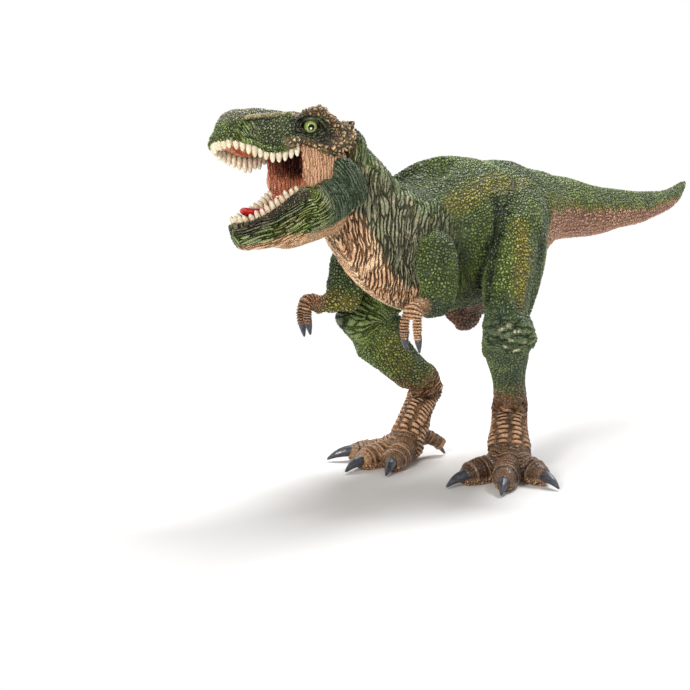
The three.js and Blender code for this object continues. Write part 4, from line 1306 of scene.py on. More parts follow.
    def pattern(self) -> None:
        """Lays scales, folds, bands and knobs over the skin."""
        skin, coat, marks = self.skin, self.coat, self.marks
        on_head = marks["skull"]
        self.scales(self.body_scale + (self.head_scale - self.body_scale) * ramp(0.2, 0.8, on_head))
        s, ahead, aside = BODY_LINE.locate(skin.points)
        angle = np.degrees(np.arctan2(np.abs(aside), ahead))
        trunk = marks["torso"] + marks["tail"]
        warp = 0.6 * (ripples(skin.points, 13, (31, 32, 33)) + 0.35 * ripples(skin.points, 5, (34, 35, 36)))
        sway = ripples(skin.points, 34, (37, 38, 39)) * (1.6, 1.6, 0)
        neck = trunk * ramp(196, 212, s) * ramp(25, 70, angle)
        chest = trunk * ramp(100, 128, angle) * ramp(186, 198, s)
        x, y, z = np.abs(skin.points[:, 0]), skin.points[:, 1], skin.points[:, 2]
        way = columns((0.77 * x + 0.64 * y) / self.fold_pitch, (0.77 * y - 0.64 * x) / 9, z / 9)
        self.lay("Fold", np.maximum(neck, chest), way + 0.8 * (warp + sway) * (1, 0.15, 0.15))
        under = trunk * ramp(95, 130, angle) * ramp(150, 130, s)
        self.lay("Band", 0.6 * under, columns(s / 2.6, 5 * np.arctan2(aside, -ahead), 0 * s) + 0.5 * warp)
        for limb in LIMBS:
            self.pattern_leg(limb, warp)
        head = mirrored(to_head(skin.points))
        x, y, z = head.T
        brow = ramp(-17, -13, y) * ramp(14.5, 16, z)
        behind = ramp(-7.5, -5.5, y)
        below = ramp(8.6, 7.6, z + 0.05 * (y + 10)) * ramp(3, 5, z) * ramp(-23, -19, y)
        outer = ramp(6, 8, x)
        round_eye = np.hypot((y + 10.8) / 1.5, z - 11.6)
        socket = on_head * outer * ramp(4.7, 3.7, round_eye)
        knobs = np.maximum.reduce((brow, behind, below))
        coat.values["Knob"] = on_head * outer * np.clip(knobs, 0, 1) * (1 - socket)
        rings = columns(round_eye / 0.95, 1.3 * np.arctan2(z - 11.6, y + 10.8), 0 * z)
        self.lay("Fold", 0.8 * socket, rings + 0.2 * warp)
        front = on_head * outer * ramp(-28, -32, y) * ramp(5, 6.5, z) * ramp(16, 14, z)
        self.lay("Fold", 0.8 * front, columns((y + 0.4 * z) / 1.05, x / 8, z / 6) + 0.6 * warp)
        coat.values["Scale"] *= 1 - coat.values["Knob"]
        ridge, _ = polyline_distance(head, SNOUT_RIDGE)
        coat.values["Scale"] *= 1 - 0.7 * on_head * ramp(1.3, 0.6, ridge)

    def pattern_leg(self, limb: Limb, warp: Array) -> None:
        """Lays the folds of a knee and a hock and the bands of a foot."""
        skin, marks = self.skin, self.marks
        points = skin.points
        leg, foot = marks[f"{limb.name}_leg"], marks[f"{limb.name}_foot"]
        deep, pitch, knee_reach = (0.7, 1.5, 8) if limb.side > 0 else (1.0, 1.6, 13)
        for place, line, radius in (
            (limb.knee, (limb.hip, limb.knee, limb.hock), knee_reach),
            (limb.hock, (limb.knee, limb.hock, limb.ankle), 9),
        ):
            path = Path(line, (0, -1, 0))
            t, ahead, aside = path.locate(points)
            middle = path.locate(np.array([place]))[0][0]
            weight = (leg + foot) * np.clip(1 - ((t - middle) / radius) ** 2, 0, 1) ** 1.5
            way = columns(t / pitch, ahead / 8, aside / 8) + 0.5 * warp[:, ::-1]
            self.lay("Fold", deep * weight, way)
        shank = Path((limb.knee, limb.hock, limb.ankle), (0.4 * limb.side, -1, 0))
        t, ahead, aside = shank.locate(points)
        way = columns(t / 1.55, np.degrees(np.arctan2(aside, ahead)) / 42, 0 * t)
        best = polyline_distance(points, (limb.hock, limb.ankle))[0] / 6.2
        for number, line in enumerate(limb.toe_lines()):
            distance, along = polyline_distance(points, line)
            reach = np.linalg.norm(line[2] - line[1]) + np.linalg.norm(line[1] - line[0])
            nearer = distance / 4 < best
            toe_way = columns(along * reach / 1.35, np.full(len(points), 0.5 + number), 0 * t)
            way[nearer] = toe_way[nearer]
            best = np.minimum(best, distance / 4)
        floor = ramp(1.2, 2.6, points[:, 2])
        self.lay("Band", foot * floor * ramp(30, 24, points[:, 2]), way)

    def paint(self) -> None:
        """Paints the hide."""
        coat, marks, points = self.coat, self.marks, self.skin.points
        s, angle = round_body(points)
        angle += 9 * ripple(points, 14, 41)
        trunk = marks["torso"] + marks["tail"]
        coat.spray(Paint.BRIGHT_LEAF, blotches(points, 30, 42, 0, 0.7), 0.45)
        coat.spray(Paint.PINE, blotches(points, 4, 48, 0.1, 0.9), 0.35)
        coat.spray(Paint.PINE, blotches(points, 24, 43, 0, 0.8), 0.4)
        edge = np.interp(s, *zip(*BARE_EDGE))
        border = np.exp(-(((angle - edge + 2) / 13) ** 2)) * ramp(160, 140, s) * ramp(10, 25, s)
        coat.spray(Paint.YELLOW_LEAF, trunk * border, 0.8)
        coat.spray(Paint.MOSS_GREY, trunk * ramp(198, 214, s) * ramp(45, 90, angle), 0.75)
        neck = trunk * ramp(200, 215, s)
        coat.spray(Paint.PINE, neck * ramp(70, 20, angle), 0.5)
        coat.spray(Paint.PALE_TAN, neck * blotches(points, 3.2, 47, 0.35, 0.9), 0.35)
        bare = trunk * ramp(edge - 5, edge + 6, angle)
        chest = bare * ramp(184, 196, s)
        coat.spray(Paint.ROSE_TAN, bare)
        coat.spray(Paint.TAN, chest, 0.95)
        coat.spray(Paint.PALE_TAN, chest * blotches(points, 12, 44, -0.4, 0.5), 0.85)
        flank = ((19.1, -54.2, 99.7), (19.4, -46.2, 102.5), (19.2, -31.6, 105), (17.3, -14.2, 105.4))
        crease = ((23.2, -35.7, 100), (26.4, -40.3, 86.7), (28.4, -44.5, 79.7), (30.8, -50.4, 67.3))
        for paint, line, radius, strength in (
            (Paint.YELLOW_LEAF, flank, 6, 0.7),
            (Paint.YELLOW_LEAF, ((32.3, -34.3, 90.8), (38.6, -39.6, 80), (42.4, -47.6, 68.8)), 5.8, 0.95),
            (Paint.BRIGHT_LEAF, ((27, -38, 92), (34, -46, 78), (38, -52, 68)), 6, 0.6),
            (Paint.PINE, crease, 4.5, 0.85),
            (Paint.PINE, ((35, -20, 86), (40, -27, 72), (42, -36, 60)), 7, 0.6),
            (Paint.BLUE_PINE, ((40, -54, 64), (42, -54, 50), (34, -38, 38)), 11, 0.7),
            (Paint.PINE, ((26, -60, 92), (26, -56, 78), (24, -56, 66)), 9, 0.45),
            (Paint.BRIGHT_LEAF, ((21, -69, 86), (23, -70, 72)), 6, 0.5),
            (Paint.BLUE_PINE, ((24, -68, 66), (25.5, -78, 64)), 6.5, 0.85),
            (Paint.PINE, ((-20, -64, 82), (-21, -66, 70)), 10, 0.95),
            (Paint.YELLOW_LEAF, ((-19.5, -68, 62), (-21.5, -78, 62)), 9, 1.0),
            (Paint.MOSS_GREY, ((-19.5, -70, 62), (-21.5, -78, 62)), 7, 0.35),
            (Paint.YELLOW_LEAF, ((-17.8, -45, 46), (-19.5, -36, 38)), 7, 0.6),
            (Paint.BRIGHT_LEAF, ((-20, -52, 48), (-20, -36, 36)), 9, 0.5),
            (Paint.PINE, ((-26, -60, 62), (-29, -62, 54)), 8, 0.6),
            (Paint.DARK_BROWN, ((4.9, -28, 57), (1, -22, 55)), 13, 0.9),
        ):
            coat.mist(paint, line, radius, strength)
        for limb in LIMBS:
            self.paint_leg(limb)
        for side in ARM_LINES:
            self.dress_hand(side, marks[f"{side}_arm"])
        for place in (
            (40.8, -56.7, 58.8), (42.7, -55.3, 60.2), (45.3, -54.2, 57.9), (46, -48.8, 58.3),
            (44.5, -55.9, 55.6), (46.1, -51.2, 54.5), (42.2, -55.7, 53.2), (44.8, -44.7, 52.4),
            (44.1, -52.4, 51.6),
        ):  # fmt: skip
            coat.mist(Paint.BONE_DOT, (place, np.array(place) + (0.5, 0.9, 0.1)), 1.0, 1.0)
            near, _ = polyline_distance(points, (place,))
            coat.values["WashAndShade"] *= 1 - 0.8 * ramp(1.6, 0.8, near)
        self.paint_head()
        # Dark green along the seams where the legs and arms meet the torso: painted shade in these creases
        for side in SIDES:
            gap = self.seam(f"{side}_leg", "torso") + 0.4 * self.seam(f"{side}_arm", "torso")
            coat.spray(Paint.PINE, gap, 0.7)

    def paint_leg(self, limb: Limb) -> None:
        """Paints a shin and a foot."""
        coat, points, normals = self.coat, self.skin.points, self.skin.normals
        leg, foot = self.marks[f"{limb.name}_leg"], self.marks[f"{limb.name}_foot"]
        height = points[:, 2]
        coat.spray(Paint.BROWN, (leg + foot) * ramp(37, 24, height + 3 * ripple(points, 9, 45)))
        lit = ramp(26, 16, height) * ramp(-0.3, 0.9, normals[:, 2] - normals[:, 1])
        coat.spray(Paint.TAN, foot * lit, 0.5)
        coat.spray(Paint.DARK_BROWN, foot * blotches(points, 12, 46, 0.1, 0.7), 0.35)
        if limb.side > 0:
            coat.spray(Paint.DARK_BROWN, foot * ramp(14, 6, height), 0.65)
        else:
            coat.spray(Paint.TAN, foot * blotches(points, 9, 54, -0.8, 0.4), 0.6)
        coat.values["Shine"] += 0.35 * foot
        coat.spray(Paint.TAN, foot * ramp(3.2, 1.6, height), 0.8)

    def paint_head(self) -> None:
        """Paints the skull's part of the hide."""
        skin, coat = self.skin, self.coat
        on_head = self.marks["skull"]
        head = to_head(skin.points)
        both = mirrored(head)
        flat = both * FLAT
        x, y, z = both.T
        coat.spray(Paint.LEAF, on_head)
        snout = ramp(-27, -33, y) * blotches(both * (1, 1, 0.25), 4, 51, -0.5, 0.4)
        coat.spray(Paint.BRIGHT_LEAF, on_head * snout, 0.8)
        patch = on_head * ramp(-36, -32, y) * ramp(-16, -20, y)
        coat.spray(Paint.MOSS_GREY, patch * ramp(5.5, 8, z) * ramp(18, 15.5, z), 0.25)
        top = on_head * ramp(8, 6.5, x) * ramp(13.5, 15.5, z)
        coat.spray(Paint.MOSS_GREY, top, 0.85)
        knobs = coat.values["Knob"]
        coat.spray(Paint.HORN_TAN, knobs, 0.95)
        coat.spray(Paint.BROWN, knobs * blotches(both, 5, 52, -0.1, 0.5), 0.45)
        coat.spray(Paint.DARK_BROWN, knobs * blotches(both, 3.5, 53, 0.1, 0.6), 0.3)
        coat.values["WashAndShade"] += 0.35 * on_head - 0.65 * top
        socket, _ = polyline_distance(flat, ((0, -14.5, 12), (0, -10.8, 11.8), (0, -7, 10)))
        coat.spray(Paint.PINE, on_head * ramp(5, 3.4, socket) * ramp(7, 9, x), 0.85)
        coat.spray(Paint.THROAT, on_head * ramp(3.4, 2.6, socket) * ramp(8, 9, x), 0.5)
        coat.mist(Paint.PALE_TAN, SNOUT_RIDGE, 0.8, 0.95, both)
        coat.mist(Paint.THROAT, np.array(SNOUT_RIDGE) - (-0.4, 0, 1.35), 0.7, 0.8, both)
        ridge, _ = polyline_distance(both, SNOUT_RIDGE)
        coat.values["WashAndShade"] *= 1 - 0.7 * ramp(1.2, 0.6, ridge)
        rim = ((0, -42, 8.2), (0, -33, 6.7), (0, -27, 4.4), (0, -22, 4.2))
        coat.mist(Paint.BRIGHT_LEAF, rim, 0.8, 0.7, flat)
        coat.mist(Paint.THROAT, np.array(rim) + (0, 0, 1.3), 0.5, 0.45, flat)
        coat.mist(Paint.THROAT, ((6.4, -41.2, 12.6),), 1.7, 0.9, both)
        coat.spray(Paint.BROWN, on_head * ramp(3.2, 1.5, z) * ramp(-16, -12, y), 0.6)
        aside, back, up = (skin.normals @ HEAD_AXES.T).T
        out = np.sign(head[:, 0]) * aside - ramp(-37, -41, y) * back
        inward = on_head * ramp(0.2, -0.2, out) * ramp(-0.1, 0.4, -up - out)
        inward *= ramp(11, 9, z)
        coat.spray(Paint.FLESH, inward * ramp(8.8, 7.8, x))
        # Near-black on the lip's underside outside and ahead of the upper teeth: painted shade in the gap
        # between lip and teeth
        row = np.array(UPPER_ROW)[::-1]
        beyond = np.maximum(x - np.interp(y, row[:, 1], row[:, 0]), -40.2 - y)
        coat.spray(Paint.THROAT, inward * ramp(-0.4, 0.4, beyond), 0.9)
        coat.values["Scale"] *= 1 - inward * ramp(8.8, 7.8, x)

    def pieces(self, material: Material) -> None:
        """Cuts the skin into its pieces, one or two for each node."""
        skin = self.skin
        owner = columns(*(self.marks[name] for name in self.nodes))
        of_face = owner[skin.faces].sum(1).argmax(1)
        middle_y = skin.points[skin.faces][:, :, 1].mean(1)
        for number, name in enumerate(self.nodes):
            chosen = of_face == number
            slot = "scutes" if name.endswith("foot") else "skin"
            looks = {"slot": slot, "material": material}
            cut = partial(cut_piece, skin, self.coat, body=Body.FIGURE, node=name, **looks)
            if name == "torso":
                front = middle_y < self.neck_start
                cut(name="neck_skin", chosen=chosen & front)
                chosen &= ~front
            elif name.endswith("arm"):
                along, _, _, wrist = self.round_arm(name.removesuffix("_arm"))
                chosen &= along[skin.faces].mean(1) < wrist
            cut(name=f"{name}_skin", chosen=chosen)

    def build(self, tree: GeometryNodeTree, material: Material) -> None:
        """Makes the whole hide."""
        self.skin = Skin.cast(self.nodes, coarser(self.voxel), self.puff, self.polish)
        log.info("skin cast: %d points", len(self.skin.points))
        self.marks = self.skin.finer(self.label())
        self.sculpt()
        self.coat = Coat(self.skin.points)
        self.pattern()
        self.paint()
        raise_relief(self.skin, self.coat, tree, material)
        self.pieces(material)


@dataclass
class Hand(Moulded):
    """A hand with two slim fingers, modelled along their middle lines so that they stay apart."""

    side: str = "left"
    voxel: float = 0.34
    polish: int = 4
    palm_radius: float = 2.7
    knuckle_radius: float = 1.65
    tip_radius: float = 1.3
    claw_share: float = 0.8
    spread: float = 3.3
    finger_balls: int = 26

    def shape(self, claws: Sequence[Array]) -> Mesh:
        """Lines up balls along the palm and the fingers.

        Args:
            claws: The points of the two claws.

        Returns:
            The mesh of the balls, which touch and overlap.
        """
        path = Path(ARM_LINES[self.side], ARM_FRONT)
        start = np.searchsorted(path.reach, path.reach[-1] - self.wrist)
        palm = path.places[start - 3 : start + 9 : 3]
        middles = [claw.mean(0) for claw in claws]
        apart = (middles[0] - middles[1]) / np.linalg.norm(middles[0] - middles[1])
        balls = [(place, self.palm_radius) for place in palm]
        for claw, way in zip(claws, (1, -1)):
            top, bottom = claw[:, 2].max(), claw[:, 2].min()
            level = bottom + self.claw_share * (top - bottom)
            tip = claw[np.abs(claw[:, 2] - level) < 0.8].mean(0)
            knuckle = palm[-1] + 0.5 * way * self.spread * apart + (0, -0.6, 0.2)
            bend = 0.5 * (knuckle + tip) + (0.2 * way * apart) + (0, -0.5, 0.4)
            line = Path((knuckle, bend, tip), (0, -1, 0), self.finger_balls)
            shares = np.linspace(0, 1, self.finger_balls)
            radii = np.interp(shares, (0, 0.45, 0.55, 1), (self.knuckle_radius, 1.5, 1.6, self.tip_radius))
            balls += list(zip(line.places, radii))
        whole = bmesh.new()
        for place, radius in balls:
            where = Matrix.Translation(((place - SHIFT) * MM).tolist())
            bmesh.ops.create_icosphere(whole, subdivisions=2, radius=radius * MM, matrix=where)
        mesh = bpy.data.meshes.new("hand")
        whole.to_mesh(mesh)
        whole.free()
        return mesh

    def build(self, tree: GeometryNodeTree, material: Material) -> None:
        """Makes the hand, from the wrist on."""
        names = [f"{self.side}_finger_claw_{k}" for k in (1, 2)]
        claws = [own_points(frame["nodes"][name].data) + CLAW_SHIFTS[name] for name in names]
        self.skin = Skin.remeshed(self.shape(claws), coarser(self.voxel), self.polish)
        self.skin.finer()
        self.coat = Coat(self.skin.points)
        everywhere = np.ones(len(self.skin.points))
        self.scales(everywhere)
        self.dress_hand(self.side, everywhere)
        raise_relief(self.skin, self.coat, tree, material)
        name, node = f"{self.side}_hand_skin", f"{self.side}_arm"
        cut_piece(self.skin, self.coat, name, Body.FIGURE, node, "skin", material)


@dataclass
class JawHide(Moulded):
    """The hide of the lower jaw, with its smooth cheek lobes and wrinkled sides."""

    voxel: float = 0.6
    polish: int = 10
    scale: float = 0.85
    fold_pitch: float = 0.85

    def build(self, tree: GeometryNodeTree, material: Material) -> None:
        """Makes the jaw's hide."""
        self.skin = Skin.cast(("lower_jaw",), coarser(self.voxel), 0.0, self.polish)
        self.skin.finer()
        jaw = to_jaw(self.skin.points)
        outward = np.sign(jaw[:, 0]) * (self.skin.normals @ HEAD_AXES[0])
        for line, radius, height in (
            (((0, -41, -8.5),), 6, 0.8),
            (((11.6, -17, -2.6), (12.4, -12, -2.4), (13, -9.5, -3)), 3.4, 1.4),
            (((6.2, -18, -2), (5, -27, -2.6), (4.2, -33, -3), (0, -36, -2.5)), 2.2, 1.4),
        ):
            self.skin.stroke(line, radius, height, mirrored(jaw))
        self.skin.refresh()
        jaw = to_jaw(self.skin.points)
        self.coat = Coat(self.skin.points)
        self.scales(np.full(len(jaw), self.scale))
        self.dress(jaw, outward)
        raise_relief(self.skin, self.coat, tree, material)
        cut_piece(self.skin, self.coat, "lower_jaw_skin", Body.JAW, "lower_jaw", "skin", material)

    def dress(self, jaw: Array, outward: Array) -> None:
        """Lays the folds and paints the jaw.

        Args:
            jaw: The points in the jaw's frame.
            outward: How far each point faces outwards, from -1 to 1.
        """
        coat, flat = self.coat, jaw * FLAT
        x, y, z = mirrored(jaw).T
        lobe = ramp(-16, -10, y) * ramp(10, 12, x)
        far, along = polyline_distance(flat, ((0, -44, -1), (0, -30, -3.5), (0, -21, -3), (0, -16, -3.5)))
        angle = np.arctan2(z + 3.5, y + 16)
        curve = np.where(along > 0.98, 20 + 6 * angle, along * 20)
        warp = 0.35 * ripples(jaw, 8, (61, 62, 63))
        facing = ramp(-0.2, 0.3, outward)
        outer = facing * (1 - 0.8 * lobe)
        wrinkled = outer * ramp(0.6, 2, far) * ramp(15, 11, far)
        self.lay("Fold", wrinkled, columns(far / self.fold_pitch, curve / 12, 0 * far) + warp)
        self.lay("Fold", 0.9 * ramp(-37, -41, y), columns(jaw[:, 0] / 1.6, z / 8, 0 * far) + warp)
        coat.values["Scale"] *= 1 - 0.55 * lobe
        coat.spray(Paint.LEAF, np.ones(len(jaw)))
        coat.spray(Paint.BRIGHT_LEAF, blotches(jaw, 7, 64, 0, 0.7), 0.4)
        coat.spray(Paint.MOSS_GREY, blotches(jaw, 6, 70, -0.5, 0.5), 0.3)
        coat.mist(Paint.BRIGHT_LEAF, ((0, -15, -3), (0, -15.5, -9)), 4.5, 0.6, flat)
        coat.mist(Paint.YELLOW_LEAF, ((0, -15.5, -4), (0, -16, -8)), 3, 0.2, flat)
        dabs = ramp(-22, -17, y) * ramp(-8, -12, y) * ramp(-12, -9, z)
        coat.spray(Paint.BONE_DOT, dabs * blotches(jaw * (1, 1, 0.3), 2.4, 68, 0.1, 0.6), 0.6)
        coat.mist(Paint.YELLOW_LEAF, ((0, -21, -9.5), (0, -30, -9.5)), 3, 0.3, flat)
        self.lay("Fold", 0.5 * lobe * facing, columns(y, x / 9, z / 8) + warp)
        coat.spray(Paint.BLUE_PINE, lobe, 0.9)
        coat.spray(Paint.PINE, lobe * blotches(jaw, 12, 65, 0, 0.6), 0.4)
        bottom = np.interp(y, (-43, -36, -28, -20, -12, -4), (-9.5, -11.5, -13, -15.5, -17, -16))
        below = ramp(bottom + 1.2, bottom - 1.2, z + ripple(jaw, 8, 66))
        coat.spray(Paint.TAN, below, 0.95)
        coat.spray(Paint.PALE_TAN, below * blotches(jaw, 9, 69, -0.2, 0.5), 0.5)
        coat.spray(Paint.BROWN, below * blotches(jaw, 6, 67, 0.2, 0.9), 0.35)
        lip = np.interp(y, (-45.6, -39.7, -31.2, -22.6, -16.2), (-0.2, -2.5, -3, -1.9, -1))
        coat.spray(Paint.LIP, outer * ramp(lip - 4.4, lip - 2.8, z) * ramp(-14, -18, y), 0.8)
        inside = ramp(0.3, -0.1, outward) * ramp(-9, -7, z)
        inside *= ramp(-9, -12, y) * ramp(-41.5, -39.5, y)
        coat.spray(Paint.ROSE, inside)
        coat.values["Scale"] *= 1 - inside
        coat.values["WashAndShade"] *= 1 + 0.35 * wrinkled * (1 - below) - 0.2 * lobe - 0.5 * below
        coat.values["Scale"] *= 1 - 0.6 * below
        coat.values["Shine"] += 0.25 * lobe + 0.6 * inside


@dataclass
class MouthLining(Moulded):
    """The soft lining of the mouth with the stretched skin of the cheeks."""

    voxel: float = 0.52
    polish: int = 8

    def build(self, tree: GeometryNodeTree, material: Material) -> None:
        """Makes the lining."""
        self.skin = Skin.cast(("mouth_lining",), coarser(self.voxel), 0.0, self.polish)
        self.skin.grab(from_head(((-9.7, -15, 1), (-9.7, -14.5, -6))), 6, -1.3 * HEAD_AXES[1])
        self.skin.finer()
        head = to_head(self.skin.points)
        x, y, z = mirrored(head).T
        outward = np.sign(head[:, 0]) * (self.skin.normals @ HEAD_AXES[0])
        inward = ramp(0.2, -0.2, outward)
        self.coat = Coat(self.skin.points)
        coat = self.coat
        warp = 0.3 * ripples(head, 7, (71, 72, 73))
        cheek = ramp(7, 9, x) * ramp(-20, -16, y)
        self.lay("Fold", 0.45 * cheek, columns(y / 1.1, x / 8, z / 9) + warp)
        palate = ramp(-14, -18, y) * (1 - cheek)
        self.lay("Fold", 0.35 * palate, columns(y / 2.4, x / 6, z / 9) + warp)
        coat.spray(Paint.FLESH, np.ones(len(head)))
        coat.spray(Paint.CHEEK, cheek * ramp(-0.2, 0.3, outward), 0.9)
        # Near-black on the inner back of the lining, deep in the mouth: painted shade where the throat is
        deep = ramp(-15, -9, y) * inward * ramp(-4, -0.5, z + 1.5 * ripple(head, 6, 75))
        coat.spray(Paint.THROAT, deep, 0.8)
        coat.spray(Paint.ROSE, blotches(head, 8, 74, 0, 0.8), 0.25)
        coat.values["WashAndShade"] *= 0.4 - 0.3 * inward
        coat.values["Scale"] *= 0.3
        coat.values["Shine"] += 0.5
        raise_relief(self.skin, coat, tree, material)
        cut_piece(self.skin, coat, "mouth_lining_skin", Body.FIGURE, "mouth_lining", "flesh", material)


@dataclass(frozen=True)
class ToothRow:
    """A row of blunt teeth along the curve of a jaw."""

    name: str
    body: Body
    side: tuple[tuple[float, float, float], ...]
    count: int
    points_way: int
    place: Callable[[Array], Array]
    length: float = 2.7
    radius: float = 1.0
    seed: int = 3
    far_drop: float = 0.0
    lean: tuple[float, float, float] = (0.1, 0.08, 0.2)
    lengths: tuple[float, float] = (0.78, 1.16)
    curl: float = 0.16
    depth: float = 1.05

    def tooth(self, graph: Graph) -> NodeSocket:
        """Adds one rounded tooth that curls a little."""
        ball = graph.node("GeometryNodeMeshUVSphere", {"Segments": 20, "Rings": 14, "Radius": 1.0}).outputs[0]
        place = graph.node("GeometryNodeInputPosition").outputs[0]
        x, y, z = graph.node("ShaderNodeSeparateXYZ", {0: place}).outputs
        curled = graph.math("ADD", y, graph.times(graph.times(z, z), self.curl))
        bent = graph.node("ShaderNodeCombineXYZ", {0: x, 1: curled, 2: z}).outputs[0]
        tooth = graph.node("GeometryNodeSetPosition", {"Geometry": ball, "Position": bent}).outputs[0]
        return graph.node("GeometryNodeSetShadeSmooth", {0: tooth}).outputs[0]

    def turn(
        self, graph: Graph, down: NodeSocket, seed: NodeSocket
    ) -> NodeSocket:
        """Adds the turn of each tooth: along the row, pointing down, leaning a little at random."""
        align = "FunctionNodeAlignRotationToVector"
        tangent = graph.node("GeometryNodeInputTangent").outputs[0]
        upright = graph.node(align, {"Vector": down}, axis="Z").outputs[0]
        inputs = {"Rotation": upright, "Vector": tangent}
        turned = graph.node(align, inputs, axis="X", pivot_axis="Z").outputs[0]
        limits = {0: tuple(-lean for lean in self.lean), 1: self.lean, "Seed": seed}
        lean = graph.node("FunctionNodeRandomValue", limits, data_type="FLOAT_VECTOR").outputs[0]
        bent = graph.node("FunctionNodeEulerToRotation", {0: lean}).outputs[0]
        whole = graph.node("FunctionNodeRotateRotation", {0: turned, 1: bent}, rotation_space="LOCAL")
        return whole.outputs[0]

    def tree(self) -> GeometryNodeTree:
        """Builds the geometry tree that sets the teeth along a curve."""
        kinds = {
            "Teeth": "Int", "Length": "Float", "Radius": "Float", "Down": "Vector", "Seed": "Int",
            "Material": "Material",
        }  # fmt: skip
        graph, enter = Graph.geometry(self.name + "_tree", kinds)
        curve = graph.node("GeometryNodeMeshToCurve", {0: enter["Geometry"]}).outputs[0]
        spaced = graph.node("GeometryNodeResampleCurve", {"Curve": curve, "Count": enter["Teeth"]}).outputs[0]
        limits = {2: self.lengths[0], 3: self.lengths[1], "Seed": enter["Seed"]}
        vary = graph.node("FunctionNodeRandomValue", limits, data_type="FLOAT").outputs[1]
        depth = graph.times(enter["Radius"], self.depth)
        length = graph.times(enter["Length"], vary)
        size = graph.node("ShaderNodeCombineXYZ", {0: enter["Radius"], 1: depth, 2: length}).outputs[0]
        turn = self.turn(graph, enter["Down"], enter["Seed"])
        inputs = {"Points": spaced, "Instance": self.tooth(graph), "Rotation": turn, "Scale": size}
        placed = graph.node("GeometryNodeInstanceOnPoints", inputs).outputs[0]
        graph.end_geometry(placed, enter["Material"])
        return graph.tree

    def build(self, material: Material, node: str) -> None:
        """Makes the row and hangs it on its body.

        Args:
            material: The teeth's plastic.
            node: The CAD node that the row stands for.
        """
        half = np.array(self.side)
        row = np.vstack((half, (half * (-1, 1, 1))[-2::-1]))
        row[:, 2] -= self.far_drop * np.clip(-row[:, 0] / 9, 0, 1)
        row = Path(row, (0, 0, 1), 200).places
        mesh = bpy.data.meshes.new("row")
        places = (self.place(row) - SHIFT) * MM
        mesh.from_pydata(places.tolist(), [(k, k + 1) for k in range(len(places) - 1)], [])
        down = self.place(np.array([(0, 0, self.points_way)])) - self.place(np.zeros((1, 3)))
        inputs = {
            "Teeth": self.count, "Length": self.length * MM, "Radius": self.radius * MM,
            "Down": down[0].tolist(), "Seed": self.seed, "Material": material,
        }  # fmt: skip
        mesh = modified(mesh, "NODES", inputs, node_group=self.tree())
        add_object(mesh, self.name, self.body, (node,), "ivory")


@dataclass(frozen=True)
class Gloss:
    """A glossy moulded plastic with faint streaks and a worn grain."""

    name: str
    colour: tuple[int, int, int]
    shade: tuple[int, int, int]
    roughness: float = 0.3
    metallic: float = 0.0
    streaks: tuple[float, float, float] = (900, 900, 900)

    def build(self) -> Material:
        """Builds the material."""
        material = bpy.data.materials.new(self.name)
        graph = Graph.of(material)
        place = graph.place()
        stretch = graph.node("ShaderNodeVectorMath", {0: place, 1: self.streaks}, operation="MULTIPLY")
        streak = graph.noise(stretch.outputs[0], 1.0, 3)
        colour = graph.mix(graph.remap(streak, 0.4, 0.68), linear(self.colour), linear(self.shade))
        worn = graph.remap(graph.noise(place, 3000, 2), 0.3, 0.7, self.roughness - 0.06, self.roughness + 0.1)
        bump = graph.node("ShaderNodeBump", {"Height": streak, "Distance": 0.1 * MM, "Strength": 0.5})
        inputs = {"Base Color": colour, "Roughness": worn, "Normal": bump.outputs[0]}
        graph.end_material({**inputs, "Metallic": self.metallic})
        return material


@dataclass(frozen=True)
class SmoothPart:
    """A CAD node cast again as a smooth piece of one glossy plastic."""

    node: str
    body: Body
    slot: str
    voxel: float = 0.35
    polish: int = 6
    puff: float = 0.0
    shift: tuple[float, float, float] = (0.0, 0.0, 0.0)
    slimness: float = 1.0

    def build(self, material: Material) -> None:
        """Makes the piece: cast, slimmed across its length and moved."""
        skin = Skin.cast((self.node,), coarser(self.voxel), self.puff, self.polish)
        middle = skin.points.mean(0)
        offset = skin.points - middle
        sample = offset[:: max(1, len(offset) // 500)]
        length = np.linalg.svd(sample, full_matrices=False)[2][0]
        along = (offset @ length)[:, None] * length
        points = middle + along + self.slimness * (offset - along) + self.shift
        mesh = mesh_of(points, self.node, skin.faces)
        mesh.materials.append(material)
        add_object(mesh, self.node + "_skin", self.body, (self.node,), self.slot)


